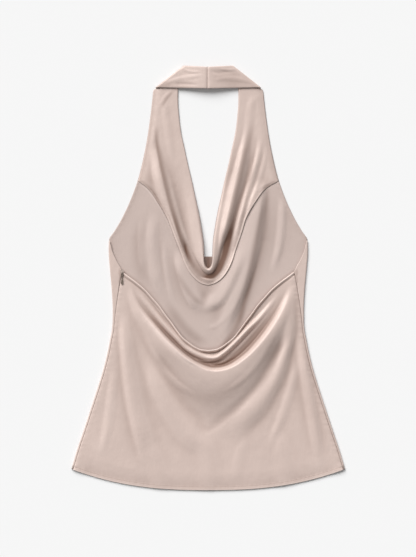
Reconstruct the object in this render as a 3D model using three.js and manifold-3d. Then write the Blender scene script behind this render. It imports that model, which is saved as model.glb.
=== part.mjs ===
// Satin halter neck top with a cowl neckline, a low cowl back and a side zip, laid face down and flat.
// Millimetres. +X is to the right as the top lies, +Y runs from the hem to the neck, +Z is up.
// The origin is on the surface that the top lies on, at the middle of its length and width.
import * as THREE from "three";
import { mergeVertices } from "three/addons/utils/BufferGeometryUtils.js";
import Module from "manifold-3d";

// Driving dimensions of the cloth.
const LENGTH = 807;
const CLOTH_WALL = 1.2;
const BAND_WALL = 2.4;
const SEAM_GAP = 0.3;
const LAYER_AIR = 1;
const SIDE_FOLD_RADIUS = 1.7;
const BAND_FOLD_RADIUS = 2.1;
const HEM_SIDE_LIFT = 39;
const HEM_CURVE_POWER = 2.5;
const FRONT_HEM_INSET = 1;
const UNDERARM_DOWN = 333.5;
const SEAM_TOP_DOWN = 391.4;
const SEAM_AT_EDGE_DOWN = 504.5;
const SEAM_FROM_EDGE = 3.5;
const V_BOTTOM_DOWN = 362.9;
const FACING_ARMHOLE_DOWN = 219.5;
const FACING_EDGE_INSET = 0.5;

// Driving dimensions of the neck band, whose two halves are folded over from the straps.
const BAND = { upperHalf: 48.5, upperDown: 0.6, lowerHalf: 101, lowerDown: 41.8 };
const BAND_SEAM = { x: -1.5, upperDown: 3.2, lowerDown: 44.3 };
const BAND_LEG = 1;
const BAND_ARCH = { rise: 5, half: 60 };
const STRAP_END_DOWN = 12;

// Driving dimensions of the concealed zip in the left side seam.
const ZIP = { length: 200, startBelowEdge: 5, fromSeam: 1.5, underEdge: 3 };
const TAPE = { width: 12.5, wall: 1, middleZ: 2.3 };
const SLIDER = { x: -163.8, down: 394.3, width: 6.6, halfLength: 5.8, plate: 1.2, clear: 0.3 };
const SLIDER_OUTLINE = { noseHalf: 1.8, waistHalf: 2.6, shoulderHalf: 2, waistY: -1.2, shoulderY: 3.2 };
const CROWN = { width: 1.3, halfLength: 2.6, leg: 0.9, inside: 2, bar: 1 };
const PULL = { length: 21.5, bar: 1, rail: 0.9, neckWidth: 1.8, dropWidth: 4, holeWidth: 2, holeLength: 4.2 };
const PULL_OUTLINE = { shoulder: 1, neckStart: 3, neckEnd: 12.9, dropStart: 15.5 };
const PULL_REST_TILT = THREE.MathUtils.degToRad(2.5);

// How finely each piece of cloth is divided.
const FRONT_LATTICE = {
  endRows: 3, strapRows: 18, underarmRows: 2, waistRows: 10, hemRows: 8, columns: 11,
};
const TURN_LATTICE = { wrapColumns: 4, foldColumns: 6 };
const FACING_LATTICE = { endRibs: 2, strapRibs: 9, cowlRibs: 20, columns: 8 };
const FACING_RIM_PARTS = [0, 0.25, 0.55, 1];
const BACK_LATTICE = { rows: 36, columns: 44, crowding: 1.35 };
const BAND_LATTICE = { rows: 5, foldColumns: 6, leafColumns: 9 };
const TAPE_ROWS = 12;

const SATIN = { color: 0xd9c5bb, roughness: 0.38, metalness: 0.1 };
const SATIN_BACK = { color: 0xc9b5ad, roughness: 0.62, metalness: 0 };
const ZIP_METAL = { color: 0x8f837c, roughness: 0.4, metalness: 0.6 };

// Outlines. "down" is measured from the top of the neck band, "half" from the middle line.
const SILHOUETTE = {
  columns: ["down", "half"],
  rows: [
    [39.9, 97.7], [42, 100], [48.5, 104.5], [65.6, 106.4], [103.6, 110.9], [141.6, 116.6],
    [179.6, 124.2], [217.6, 133.9], [255.6, 147.8], [293.6, 165.8], [312.6, 177], [333.5, 189.2],
    [350.6, 189.6], [388.6, 187], [426.6, 183.7], [464.6, 181.9], [483.6, 182], [502.6, 183.4],
    [521.6, 187], [540.6, 190.6], [578.6, 199.9], [616.6, 211.7], [654.6, 224.2], [692.6, 236.7],
    [730.6, 249.6], [767.6, 260.5],
  ],
};
const NECKLINE = {
  columns: ["down", "half"],
  rows: [
    [8.4, 50], [42.8, 57.4], [65.6, 57.6], [96, 55.6], [126.4, 51.8], [156.8, 45.3], [187.2, 38.8],
    [217.6, 31.5], [248, 24.8], [278.4, 18], [308.8, 12.5], [339.2, 8.6], [362.9, 7.8],
  ],
};
const NECK_U = { half: 7.8, startDown: 367, bottomDown: 384.8 };
const FACING_EDGE = {
  columns: ["place", "down", "left", "right"],
  rows: [
    [0, 219.5, 133.9, 133.9], [1, 233.9, 115.5, 110.2], [2.2, 259.4, 97.3, 90.3], [3.5, 290.3, 79, 72.6],
    [4.6, 319.4, 67.5, 63.6], [5.6, 348.5, 56, 53.5], [6.5, 373.9, 46.3, 45.2], [7.3, 392.2, 36.8, 36],
    [8.1, 406.6, 24.2, 24.2], [8.7, 415, 11.8, 10.5], [9.2, 417.8, 0, 0],
  ],
};
const WRAPPED_ARMHOLE = {
  columns: ["down", "half"],
  rows: [
    [333.5, 189.2], [341, 184.9], [350.6, 183], [358.2, 180.1], [369.6, 174.8], [381, 168.2],
    [391.4, 163.2],
  ],
};
const UPPER_SIDE_SEAM = {
  columns: ["down", "half"],
  rows: [[391.4, 163.2], [419, 168.9], [447.5, 173.5], [466.5, 176.2], [485.5, 178.3], [504.5, 179.9]],
};
const BACK_EDGE = {
  columns: ["half", "down"],
  rows: [
    [0, 540.6], [13.3, 539], [24.7, 534], [36.1, 526.1], [48.5, 515.7], [58.9, 502.6], [70.3, 486.4],
    [82.7, 470.3], [93.1, 455.6], [105.1, 441.8], [121.6, 423.9], [140.6, 408.1], [152, 399.9],
    [163.2, 391.4],
  ],
};

// Folds. Each runs along its path of [x, down] points. "left" and "right" are how far the fold spreads
// on each side of the way that the path runs, read evenly along it, and "rise" is its height.
const FRONT_FOLDS = [
  { name: "ridge left of the facing's foot", rise: 4, left: [24, 32, 24], right: [12, 11, 12],
    path: [[-58, 345], [-54, 383], [-44, 420], [-30, 449], [-10, 470]] },
  { name: "swag below the facing", rise: 4.5, left: [20, 30, 36, 36], right: [14, 15, 16, 18],
    path: [[-16, 458], [4, 456], [22, 444], [40, 412], [54, 376], [64, 340]] },
  { name: "step down the right side", rise: 7, left: [20, 46, 46, 30], right: [12, 16, 17, 14],
    path: [[20, 530], [44, 472], [67, 411], [83, 354], [93, 297], [99, 250], [102, 212]] },
  { name: "soft fold on the left", rise: 2.5, left: [16, 22, 16], right: [12, 16, 12],
    path: [[-84, 446], [-100, 389], [-106, 332], [-100, 275]] },
];
const FACING_FOLDS = [
  { name: "outer ridge of the left strap", rise: 6.5, left: [10, 16, 18, 12], right: [12, 22, 26, 14],
    path: [[-27, 392], [-44, 360], [-60, 320], [-74, 278], [-88, 233], [-97, 189], [-101, 146]] },
  { name: "main ridge of the right strap", rise: 7.5, left: [8, 11, 13, 9], right: [12, 18, 20, 12],
    path: [[21, 362], [28, 330], [35, 300], [44, 261], [55, 214], [66, 164], [78, 108]] },
  { name: "outer ridge of the right strap", rise: 3, left: [8, 9, 9, 8], right: [8, 9, 9, 8],
    path: [[42, 366], [56, 311], [67, 267], [82, 219], [96, 168], [101, 128]] },
];
const TOP_FOLDS = [
  { name: "main swag of the back", rise: 18, left: [7, 9, 11, 14, 11], right: [11, 44, 104, 42, 11],
    path: [[-154, 412], [-132, 461], [-94, 507], [-60, 541], [-27, 567], [6, 580], [41, 575], [75, 553],
      [107, 519], [134, 480], [152, 444], [161, 412]] },
  { name: "second ridge of the swag", rise: 7.5, left: [6, 8, 8, 8, 6], right: [7, 9, 9, 9, 7],
    path: [[-140, 424], [-119, 449], [-89, 485], [-61, 516], [-39, 538], [-13, 552], [12, 555], [30, 545],
      [52, 525], [76, 500], [97, 480], [118, 455], [140, 426]] },
  { name: "ridge on the left", rise: 4.5, left: [18, 18, 17, 15, 10], right: [34, 38, 34, 24, 12],
    path: [[-112, 772], [-128, 712], [-143, 650], [-152, 588], [-159, 520], [-161, 462]] },
  { name: "ridge on the right", rise: 6, left: [34, 30, 26, 18, 10], right: [34, 30, 22, 15, 10],
    path: [[28, 706], [62, 676], [97, 640], [124, 600], [145, 550], [158, 497], [164, 446]] },
  { name: "broad ridge left of the middle", rise: 3, left: [24, 30, 26, 16], right: [22, 28, 26, 16],
    path: [[4, 735], [-34, 706], [-70, 660], [-98, 606], [-118, 545]] },
  { name: "ridge by the right side", rise: 3, left: [16, 18, 18, 14], right: [12, 13, 13, 10],
    path: [[216, 768], [205, 700], [193, 630], [183, 565], [173, 505]] },
  { name: "wave at the middle of the hem", rise: 1.2, left: [32, 30, 20], right: [32, 30, 20],
    path: [[2, 826], [0, 760], [-6, 690]] },
  { name: "wave at the right of the hem", rise: 1.2, left: [30, 28, 18], right: [30, 28, 18],
    path: [[146, 826], [144, 758], [138, 690]] },
  { name: "wave at the left of the hem", rise: 1.1, left: [30, 28, 18], right: [28, 26, 18],
    path: [[-88, 826], [-96, 769], [-106, 706]] },
];
const FACING_OVER_FOLDS = 1.35;
const FACING_RIM = { rise: 8.5, startDown: 190, crest: 4, spread: 34 };
const BACK_RIM = { rise: 6, spread: 9 };
const HEM_LAY = { drop: 1.9, over: 34, near: 4, far: 34 };
const ZIP_FLAT = { near: 7, far: 26 };
const SIDE_FLAT = { near: 2.3, far: 14 };
const FOLD_SAMPLES = 48;
const FOLD_END_FADE = 0.3;
const WELD = 1e-4;

const { clamp, lerp, smoothstep } = THREE.MathUtils;

const FRONT_Z = CLOTH_WALL / 2;
const FACING_Z = FRONT_Z + CLOTH_WALL + LAYER_AIR;
const TOP_Z = FRONT_Z + 2 * SIDE_FOLD_RADIUS;

// A point of the top, from its place across, its place down from the neck band and its height.
function point(x, down, z) {
  return new THREE.Vector3(x, LENGTH / 2 - down, z);
}

function spread(from, to, steps) {
  return Array.from({ length: steps + 1 }, (_, i) => lerp(from, to, i / steps));
}

// Reads one column of a table along another, on a smooth curve that never overshoots its rows.
function reader(table, from, to) {
  const places = table.rows.map((row) => row[table.columns.indexOf(from)]);
  const values = table.rows.map((row) => row[table.columns.indexOf(to)]);
  const last = places.length - 1;
  const steps = places.slice(1).map((place, i) => (values[i + 1] - values[i]) / (place - places[i]));
  const slopes = places.map((_, i) => {
    const before = steps[Math.max(i - 1, 0)];
    const after = steps[Math.min(i, last - 1)];
    return before * after <= 0 ? 0 : (2 * before * after) / (before + after);
  });
  return (wanted) => {
    const place = clamp(wanted, places[0], places[last]);
    let i = 0;
    while (i < last - 1 && place > places[i + 1]) i += 1;
    const width = places[i + 1] - places[i];
    const t = (place - places[i]) / width;
    const rise = t * t * (3 - 2 * t);
    const startPull = t * (1 - t) * (1 - t) * width * slopes[i];
    const endPull = t * t * (t - 1) * width * slopes[i + 1];
    return lerp(values[i], values[i + 1], rise) + startPull + endPull;
  };
}

const silhouetteHalf = reader(SILHOUETTE, "down", "half");
const necklineHalf = reader(NECKLINE, "down", "half");
const wrappedArmholeHalf = reader(WRAPPED_ARMHOLE, "down", "half");
const upperSeamHalf = reader(UPPER_SIDE_SEAM, "down", "half");
const backEdgeDown = reader(BACK_EDGE, "half", "down");

function seamHalf(down) {
  return down < SEAM_AT_EDGE_DOWN ? upperSeamHalf(down) : silhouetteHalf(down) - SEAM_FROM_EDGE;
}

// The fold line of the neck band runs from its upper corner, out and down, to its lower corner.
const bandFold = new THREE.Vector2(BAND.lowerHalf - BAND.upperHalf, BAND.lowerDown - BAND.upperDown);
const bandFoldLength = bandFold.length();
const bandInward = new THREE.Vector2(-bandFold.y, bandFold.x).divideScalar(bandFoldLength);
const BAND_FOLD_INSET = BAND_FOLD_RADIUS + BAND_WALL / 2;
const STRAP_END_INSET = BAND_FOLD_INSET + BAND_LEG + SEAM_GAP;
const STRAP_CORNER_DOWN = BAND.lowerDown + bandInward.y * STRAP_END_INSET;

// Outer edge of a strap: along the folded end under the neck band, and then down the armhole.
function strapOuterHalf(down) {
  if (down > STRAP_CORNER_DOWN) return silhouetteHalf(down);
  const start = new THREE.Vector2(BAND.upperHalf, BAND.upperDown);
  start.addScaledVector(bandInward, STRAP_END_INSET);
  return start.x + ((down - start.y) * bandFold.x) / bandFold.y;
}

// A fold's path as many short steps, with how far along the path each of them is.
function foldSamples(fold) {
  const curve = new THREE.CatmullRomCurve3(
    fold.path.map(([x, down]) => point(x, down, 0)), false, "catmullrom", 0.5);
  return Array.from({ length: FOLD_SAMPLES + 1 }, (_, i) => curve.getPoint(i / FOLD_SAMPLES));
}

function widthAlong(widths, along) {
  const place = along * (widths.length - 1);
  const i = Math.min(Math.floor(place), widths.length - 2);
  return lerp(widths[i], widths[i + 1], smoothstep(place - i, 0, 1));
}

// Height of one fold above its surroundings at a place on the cloth.
function foldHeight(fold, x, y) {
  let best = { distance: Infinity, along: 0, side: 1 };
  for (let i = 0; i < FOLD_SAMPLES; i += 1) {
    const a = fold.samples[i];
    const b = fold.samples[i + 1];
    const stepX = b.x - a.x;
    const stepY = b.y - a.y;
    const t = clamp(((x - a.x) * stepX + (y - a.y) * stepY) / (stepX * stepX + stepY * stepY), 0, 1);
    const distance = Math.hypot(x - a.x - t * stepX, y - a.y - t * stepY);
    if (distance < best.distance) {
      const side = stepX * (y - a.y) - stepY * (x - a.x);
      best = { distance, along: (i + t) / FOLD_SAMPLES, side };
    }
  }
  const width = widthAlong(best.side > 0 ? fold.left : fold.right, best.along);
  if (best.distance >= width) return 0;
  const fade = smoothstep(Math.min(best.along, 1 - best.along), 0, FOLD_END_FADE);
  return fold.rise * fade * 0.5 * (1 + Math.cos((Math.PI * best.distance) / width));
}

function foldField(folds) {
  const sampled = folds.map((fold) => ({ ...fold, samples: foldSamples(fold) }));
  return (x, down) => {
    const y = LENGTH / 2 - down;
    return sampled.reduce((height, fold) => height + foldHeight(fold, x, y), 0);
  };
}

const frontFolds = foldField(FRONT_FOLDS);
const facingFolds = foldField(FACING_FOLDS);
const topFolds = foldField(TOP_FOLDS);

// The front lies on the surface round its edges and is raised where it is draped.
function frontLift(x, down) {
  const fromEdge = silhouetteHalf(down) - Math.abs(x);
  return frontFolds(x, down) * smoothstep(fromEdge, SIDE_FLAT.near, SIDE_FLAT.far);
}

// The upper layer follows the front below it, with its own folds, and is flat round the zip's slider.
function topLift(x, down) {
  const fromEdge = silhouetteHalf(down) - Math.abs(x);
  const fromSlider = Math.hypot(x - SLIDER.x, Math.max(down - SLIDER.down - PULL.length, 0));
  const flat = smoothstep(fromEdge, SIDE_FLAT.near, SIDE_FLAT.far)
    * (down < SLIDER.down + PULL.length + ZIP_FLAT.far
      ? smoothstep(fromSlider, ZIP_FLAT.near, ZIP_FLAT.far) : 1);
  return frontLift(x, down) + topFolds(x, down) * flat;
}

// A closed wall of cloth about the quads of a surface, half its thickness to each side.
function clothGeometry(points, quads, wall) {
  const normals = points.map(() => new THREE.Vector3());
  const across = new THREE.Vector3();
  const along = new THREE.Vector3();
  for (const [a, b, c, d] of quads) {
    across.subVectors(points[c], points[a]);
    along.subVectors(points[d], points[b]);
    const normal = across.cross(along);
    [a, b, c, d].forEach((corner) => normals[corner].add(normal));
  }
  const position = [];
  for (const side of [1, -1]) {
    points.forEach((p, i) => {
      const moved = p.clone().addScaledVector(normals[i].normalize(), (side * wall) / 2);
      position.push(moved.x, moved.y, moved.z);
    });
  }
  const under = points.length;
  const index = [];
  const edges = new Set(quads.flatMap(([a, b, c, d]) => (
    [`${a},${b}`, `${b},${c}`, `${c},${d}`, `${d},${a}`]
  )));
  for (const [a, b, c, d] of quads) {
    index.push(a, b, c, a, c, d);
    index.push(under + a, under + c, under + b, under + a, under + d, under + c);
  }
  for (const edge of edges) {
    const [a, b] = edge.split(",").map(Number);
    if (!edges.has(`${b},${a}`)) index.push(under + a, under + b, b, under + a, b, a);
  }
  const geometry = new THREE.BufferGeometry();
  geometry.setAttribute("position", new THREE.Float32BufferAttribute(position, 3));
  geometry.setIndex(index);
  geometry.computeVertexNormals();
  return geometry;
}

// Collects the rows of a surface, where a row may miss some of its columns, and closes them into a wall.
function surfaceGeometry(rows, wall, joined = () => true) {
  const points = [];
  const numbers = rows.map((row) => row.map((p) => (p ? points.push(p) - 1 : -1)));
  const quads = [];
  for (let i = 0; i < rows.length - 1; i += 1) {
    for (let j = 0; j < rows[i].length - 1; j += 1) {
      const quad = [numbers[i][j], numbers[i + 1][j], numbers[i + 1][j + 1], numbers[i][j + 1]];
      if (quad.every((n) => n >= 0) && joined(i, j)) quads.push(quad);
    }
  }
  return clothGeometry(points, quads, wall);
}

function mesh(name, geometry, finish) {
  const made = new THREE.Mesh(geometry, new THREE.MeshStandardMaterial(finish));
  made.name = name;
  return made;
}

// Rows of the front: [down at the side, down at the middle], which differ towards the curved hem.
function frontRows() {
  const level = [
    ...spread(STRAP_END_DOWN, STRAP_CORNER_DOWN, FRONT_LATTICE.endRows),
    ...spread(STRAP_CORNER_DOWN + 1, UNDERARM_DOWN, FRONT_LATTICE.strapRows),
    ...spread(UNDERARM_DOWN, V_BOTTOM_DOWN, FRONT_LATTICE.underarmRows).slice(1),
    ...spread(V_BOTTOM_DOWN, SEAM_AT_EDGE_DOWN, FRONT_LATTICE.waistRows).slice(1),
  ];
  const sideEnd = LENGTH - HEM_SIDE_LIFT - FRONT_HEM_INSET;
  const towardsHem = spread(0, 1, FRONT_LATTICE.hemRows).slice(1).map((t) => ({
    side: lerp(SEAM_AT_EDGE_DOWN, sideEnd, t),
    middle: lerp(SEAM_AT_EDGE_DOWN, LENGTH - FRONT_HEM_INSET, t),
  }));
  return [...level.map((down) => ({ side: down, middle: down })), ...towardsHem];
}

function rowDown(row, half, x) {
  return row.middle - (row.middle - row.side) * Math.abs(x / half) ** HEM_CURVE_POWER;
}

// The part of the front that turns over the side fold and lies on top, from the fold in to its edge:
// first the rest of the armhole, then the side seam.
function wrapPoint(side, sideDown, inward) {
  const foldHalf = (down) => silhouetteHalf(down) - SIDE_FOLD_RADIUS - CLOTH_WALL / 2;
  if (sideDown >= SEAM_AT_EDGE_DOWN) {
    const half = lerp(foldHalf(sideDown), seamHalf(sideDown), inward);
    return point(side * half, sideDown, TOP_Z + topLift(side * half, sideDown));
  }
  const t = (sideDown - UNDERARM_DOWN) / (SEAM_AT_EDGE_DOWN - UNDERARM_DOWN);
  const armholeDown = lerp(UNDERARM_DOWN, SEAM_TOP_DOWN, inward);
  const armholeHalf = Math.min(wrappedArmholeHalf(armholeDown), foldHalf(UNDERARM_DOWN));
  const seamDown = lerp(SEAM_TOP_DOWN, SEAM_AT_EDGE_DOWN, t);
  const levelHalf = lerp(foldHalf(SEAM_AT_EDGE_DOWN), seamHalf(SEAM_AT_EDGE_DOWN), inward);
  const blend = (top, bottom, outer, inner, corners) => lerp(top, bottom, t) + lerp(outer, inner, inward)
    - lerp(lerp(corners[0], corners[1], inward), lerp(corners[2], corners[3], inward), t);
  const half = blend(armholeHalf, levelHalf, foldHalf(sideDown), seamHalf(seamDown), [
    foldHalf(UNDERARM_DOWN), seamHalf(SEAM_TOP_DOWN),
    foldHalf(SEAM_AT_EDGE_DOWN), seamHalf(SEAM_AT_EDGE_DOWN),
  ]);
  const down = blend(armholeDown, SEAM_AT_EDGE_DOWN, sideDown, seamDown, [
    UNDERARM_DOWN, SEAM_TOP_DOWN, SEAM_AT_EDGE_DOWN, SEAM_AT_EDGE_DOWN,
  ]);
  return point(side * half, down, TOP_Z + topLift(side * half, down));
}

function sideFoldPoint(side, down, angle) {
  const centreHalf = silhouetteHalf(down) - SIDE_FOLD_RADIUS - CLOTH_WALL / 2;
  const half = centreHalf + SIDE_FOLD_RADIUS * Math.sin(angle);
  return point(side * half, down, FRONT_Z + SIDE_FOLD_RADIUS * (1 - Math.cos(angle)));
}

// The front: two straps, the draped neckline and the body down to the hem, in one piece.
function frontPanel() {
  const wrapParts = spread(1, 0, TURN_LATTICE.wrapColumns);
  const foldAngles = spread(Math.PI, 0, TURN_LATTICE.foldColumns).slice(1, -1);
  const lowerParts = spread(1, 0, FRONT_LATTICE.columns);
  const rows = frontRows().map((row) => {
    const turned = row.side >= UNDERARM_DOWN;
    const edgeHalf = strapOuterHalf(row.side);
    const outer = turned ? edgeHalf - SIDE_FOLD_RADIUS - CLOTH_WALL / 2 : edgeHalf;
    const below = smoothstep(row.middle, V_BOTTOM_DOWN, SEAM_AT_EDGE_DOWN);
    const inner = lerp(necklineHalf(row.middle), outer / FRONT_LATTICE.columns, below);
    const lower = (side) => lowerParts.map((part) => {
      const x = side * lerp(inner, outer, part);
      const down = rowDown(row, outer, x);
      return point(x, down, FRONT_Z + frontLift(x, down));
    });
    const turn = (side) => [
      ...wrapParts.map((inward) => (turned ? wrapPoint(side, row.side, inward) : null)),
      ...foldAngles.map((angle) => (turned ? sideFoldPoint(side, row.side, angle) : null)),
    ];
    const middle = row.middle >= V_BOTTOM_DOWN
      ? point(0, row.middle, FRONT_Z + frontLift(0, row.middle)) : null;
    return [...turn(-1), ...lower(-1), middle, ...lower(1).toReversed(), ...turn(1).toReversed()];
  });
  return mesh("front_panel", surfaceGeometry(rows, CLOTH_WALL), SATIN_BACK);
}

// Inner edge of the facing: down the neckline and round the small U at its foot.
function facingInner(side, t) {
  const straight = NECK_U.startDown - FACING_ARMHOLE_DOWN;
  const round = NECK_U.bottomDown - NECK_U.startDown;
  const travel = t * (straight + round);
  if (travel <= straight) {
    const down = FACING_ARMHOLE_DOWN + travel;
    return { x: side * necklineHalf(down), down };
  }
  const angle = ((travel - straight) / round) * (Math.PI / 2);
  return { x: side * NECK_U.half * Math.cos(angle), down: NECK_U.startDown + round * Math.sin(angle) };
}

function facingHeight(x, down, fromNeckline) {
  const rimRise = FACING_RIM.rise * smoothstep(down, FACING_RIM.startDown, NECK_U.bottomDown);
  const rim = fromNeckline < FACING_RIM.crest
    ? Math.sin((Math.PI / 2) * (fromNeckline / FACING_RIM.crest))
    : 1 - smoothstep(fromNeckline, FACING_RIM.crest, FACING_RIM.spread);
  const own = facingFolds(x, down) * smoothstep(fromNeckline, 0, FACING_RIM.crest);
  return FACING_Z + FACING_OVER_FOLDS * frontLift(x, down) + own + rimRise * rim;
}

// The neckline's own facing, turned to the inside: up both straps and round the foot of the neckline.
function frontFacing() {
  const edgeDown = reader(FACING_EDGE, "place", "down");
  const edgeHalf = {
    [-1]: reader(FACING_EDGE, "place", "left"),
    [1]: reader(FACING_EDGE, "place", "right"),
  };
  const lastPlace = FACING_EDGE.rows.at(-1)[0];
  const ribOf = (inner, outer) => {
    const length = Math.hypot(outer.x - inner.x, outer.down - inner.down);
    const start = Math.min(FACING_RIM.crest, length / 4);
    const places = [
      ...FACING_RIM_PARTS.map((part) => part * start),
      ...spread(start, length, FACING_LATTICE.columns).slice(1),
    ];
    return places.map((place) => {
      const x = lerp(inner.x, outer.x, place / length);
      const down = lerp(inner.down, outer.down, place / length);
      return point(x, down, facingHeight(x, down, place));
    });
  };
  const strapRibs = (side) => [
    ...spread(STRAP_END_DOWN, STRAP_CORNER_DOWN, FACING_LATTICE.endRibs),
    ...spread(STRAP_CORNER_DOWN + 1, FACING_ARMHOLE_DOWN, FACING_LATTICE.strapRibs),
  ].map((down) => ribOf(
    { x: side * necklineHalf(down), down },
    { x: side * (strapOuterHalf(down) - FACING_EDGE_INSET), down },
  ));
  const cowlRibs = (side) => spread(0, 1, FACING_LATTICE.cowlRibs).slice(1, -1).map((t) => ribOf(
    facingInner(side, t),
    { x: side * (edgeHalf[side](t * lastPlace) - FACING_EDGE_INSET), down: edgeDown(t * lastPlace) },
  ));
  const middleRib = ribOf(facingInner(1, 1), { x: 0, down: edgeDown(lastPlace) });
  const half = (side) => [...strapRibs(side), ...cowlRibs(side)];
  const rows = [...half(-1), middleRib, ...half(1).toReversed()];
  const turned = rows.map((row) => row.toReversed());
  return mesh("front_facing", surfaceGeometry(turned, CLOTH_WALL), SATIN);
}

// The back: from its low draped edge down to the hem, between the side seams.
function backPanel() {
  const rowParts = spread(0, 1, BACK_LATTICE.rows).map((t) => t ** BACK_LATTICE.crowding);
  const columnParts = spread(-1, 1, BACK_LATTICE.columns);
  const topHalf = seamHalf(SEAM_TOP_DOWN) - SEAM_GAP;
  const sideEnd = LENGTH - HEM_SIDE_LIFT;
  const rows = rowParts.map((v) => columnParts.map((u) => {
    const half = seamHalf(lerp(SEAM_TOP_DOWN, sideEnd, v)) - SEAM_GAP;
    const x = u * half;
    const edge = backEdgeDown(Math.abs(u) * topHalf);
    const hem = LENGTH - HEM_SIDE_LIFT * Math.abs(u) ** HEM_CURVE_POWER;
    const down = lerp(edge, hem, v);
    const fromEdge = down - edge;
    const rimRise = BACK_RIM.rise * (1 - Math.abs(u) ** 2);
    const rim = rimRise * (1 - smoothstep(fromEdge, 0, BACK_RIM.spread));
    const laid = HEM_LAY.drop * (1 - smoothstep(hem - down, 0, HEM_LAY.over))
      * smoothstep(half - Math.abs(x), HEM_LAY.near, HEM_LAY.far);
    return point(x, down, TOP_Z + topLift(x, down) + rim - laid);
  }));
  return mesh("back_panel", surfaceGeometry(rows, CLOTH_WALL), SATIN);
}

// One half of the neck band: the strap's end, folded over on a slant and led to the seam at the back
// of the neck, where it meets the other half.
function neckBand(name, side) {
  const seamPlace = BAND_SEAM.x + side * (SEAM_GAP / 2);
  const inwardWay = new THREE.Vector2(-1, 0).divideScalar(-bandInward.x);
  const rows = spread(0, 1, BAND_LATTICE.rows).map((v) => {
    const corner = new THREE.Vector2(
      lerp(BAND.upperHalf, BAND.lowerHalf, v), lerp(BAND.upperDown, BAND.lowerDown, v));
    const place = (way, inset, z) => {
      const moved = corner.clone().addScaledVector(way, inset);
      return point(side * moved.x, moved.y, z);
    };
    const leg = place(bandInward, BAND_FOLD_INSET + BAND_LEG, BAND_WALL / 2);
    const fold = spread(0, 1, BAND_LATTICE.foldColumns).map((t) => {
      const way = bandInward.clone().lerp(inwardWay, t);
      const inset = BAND_FOLD_INSET - BAND_FOLD_RADIUS * Math.sin(t * Math.PI);
      return place(way, inset, BAND_WALL / 2 + BAND_FOLD_RADIUS * (1 - Math.cos(t * Math.PI)));
    });
    const foldEnd = fold.at(-1);
    const seamDown = lerp(BAND_SEAM.upperDown, BAND_SEAM.lowerDown, v);
    const leaf = spread(0, 1, BAND_LATTICE.leafColumns).slice(1).map((t) => {
      const x = lerp(foldEnd.x, seamPlace, t);
      const y = lerp(foldEnd.y, LENGTH / 2 - seamDown, t);
      const arch = BAND_ARCH.rise * (1 - smoothstep(Math.abs(x), 0, BAND_ARCH.half));
      return new THREE.Vector3(x, y, BAND_WALL / 2 + 2 * BAND_FOLD_RADIUS + arch);
    });
    return side < 0 ? [leg, ...fold, ...leaf] : [leg, ...fold, ...leaf].toReversed();
  });
  return mesh(name, surfaceGeometry(rows, BAND_WALL), SATIN);
}

// The zip's tape, inside the left side seam. Its upper end runs just below the back's edge.
function zipTape() {
  const top = SEAM_TOP_DOWN + ZIP.startBelowEdge;
  const insets = [ZIP.fromSeam, ZIP.fromSeam + TAPE.width];
  const starts = insets.map((inset) => (
    Math.max(top, backEdgeDown(seamHalf(SEAM_TOP_DOWN) - inset) + ZIP.underEdge)
  ));
  const rows = spread(0, 1, TAPE_ROWS).map((t) => insets.map((inset, i) => {
    const down = lerp(starts[i], top + ZIP.length, t);
    return point(inset - seamHalf(down), down, TAPE.middleZ);
  }));
  return mesh("zip_tape", surfaceGeometry(rows, TAPE.wall), SATIN);
}

const wasm = await Module();
wasm.setup();

function toSolid(geometry) {
  const plain = geometry.clone();
  plain.deleteAttribute("normal");
  plain.deleteAttribute("uv");
  const merged = mergeVertices(plain, WELD);
  return new wasm.Manifold(new wasm.Mesh({
    numProp: 3,
    vertProperties: new Float32Array(merged.attributes.position.array),
    triVerts: new Uint32Array(merged.index.array),
  }));
}

function toGeometry(solid) {
  const { vertProperties, triVerts } = solid.getMesh();
  const geometry = new THREE.BufferGeometry();
  geometry.setAttribute("position", new THREE.BufferAttribute(vertProperties, 3));
  geometry.setIndex(new THREE.BufferAttribute(triVerts, 1));
  geometry.computeVertexNormals();
  return geometry;
}

const SLIDER_BASE_Z = TOP_Z + CLOTH_WALL / 2 + SLIDER.clear;
const SLIDER_TOP_Z = SLIDER_BASE_Z + SLIDER.plate;
const PIVOT_Z = SLIDER_TOP_Z + CROWN.inside / 2;

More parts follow.
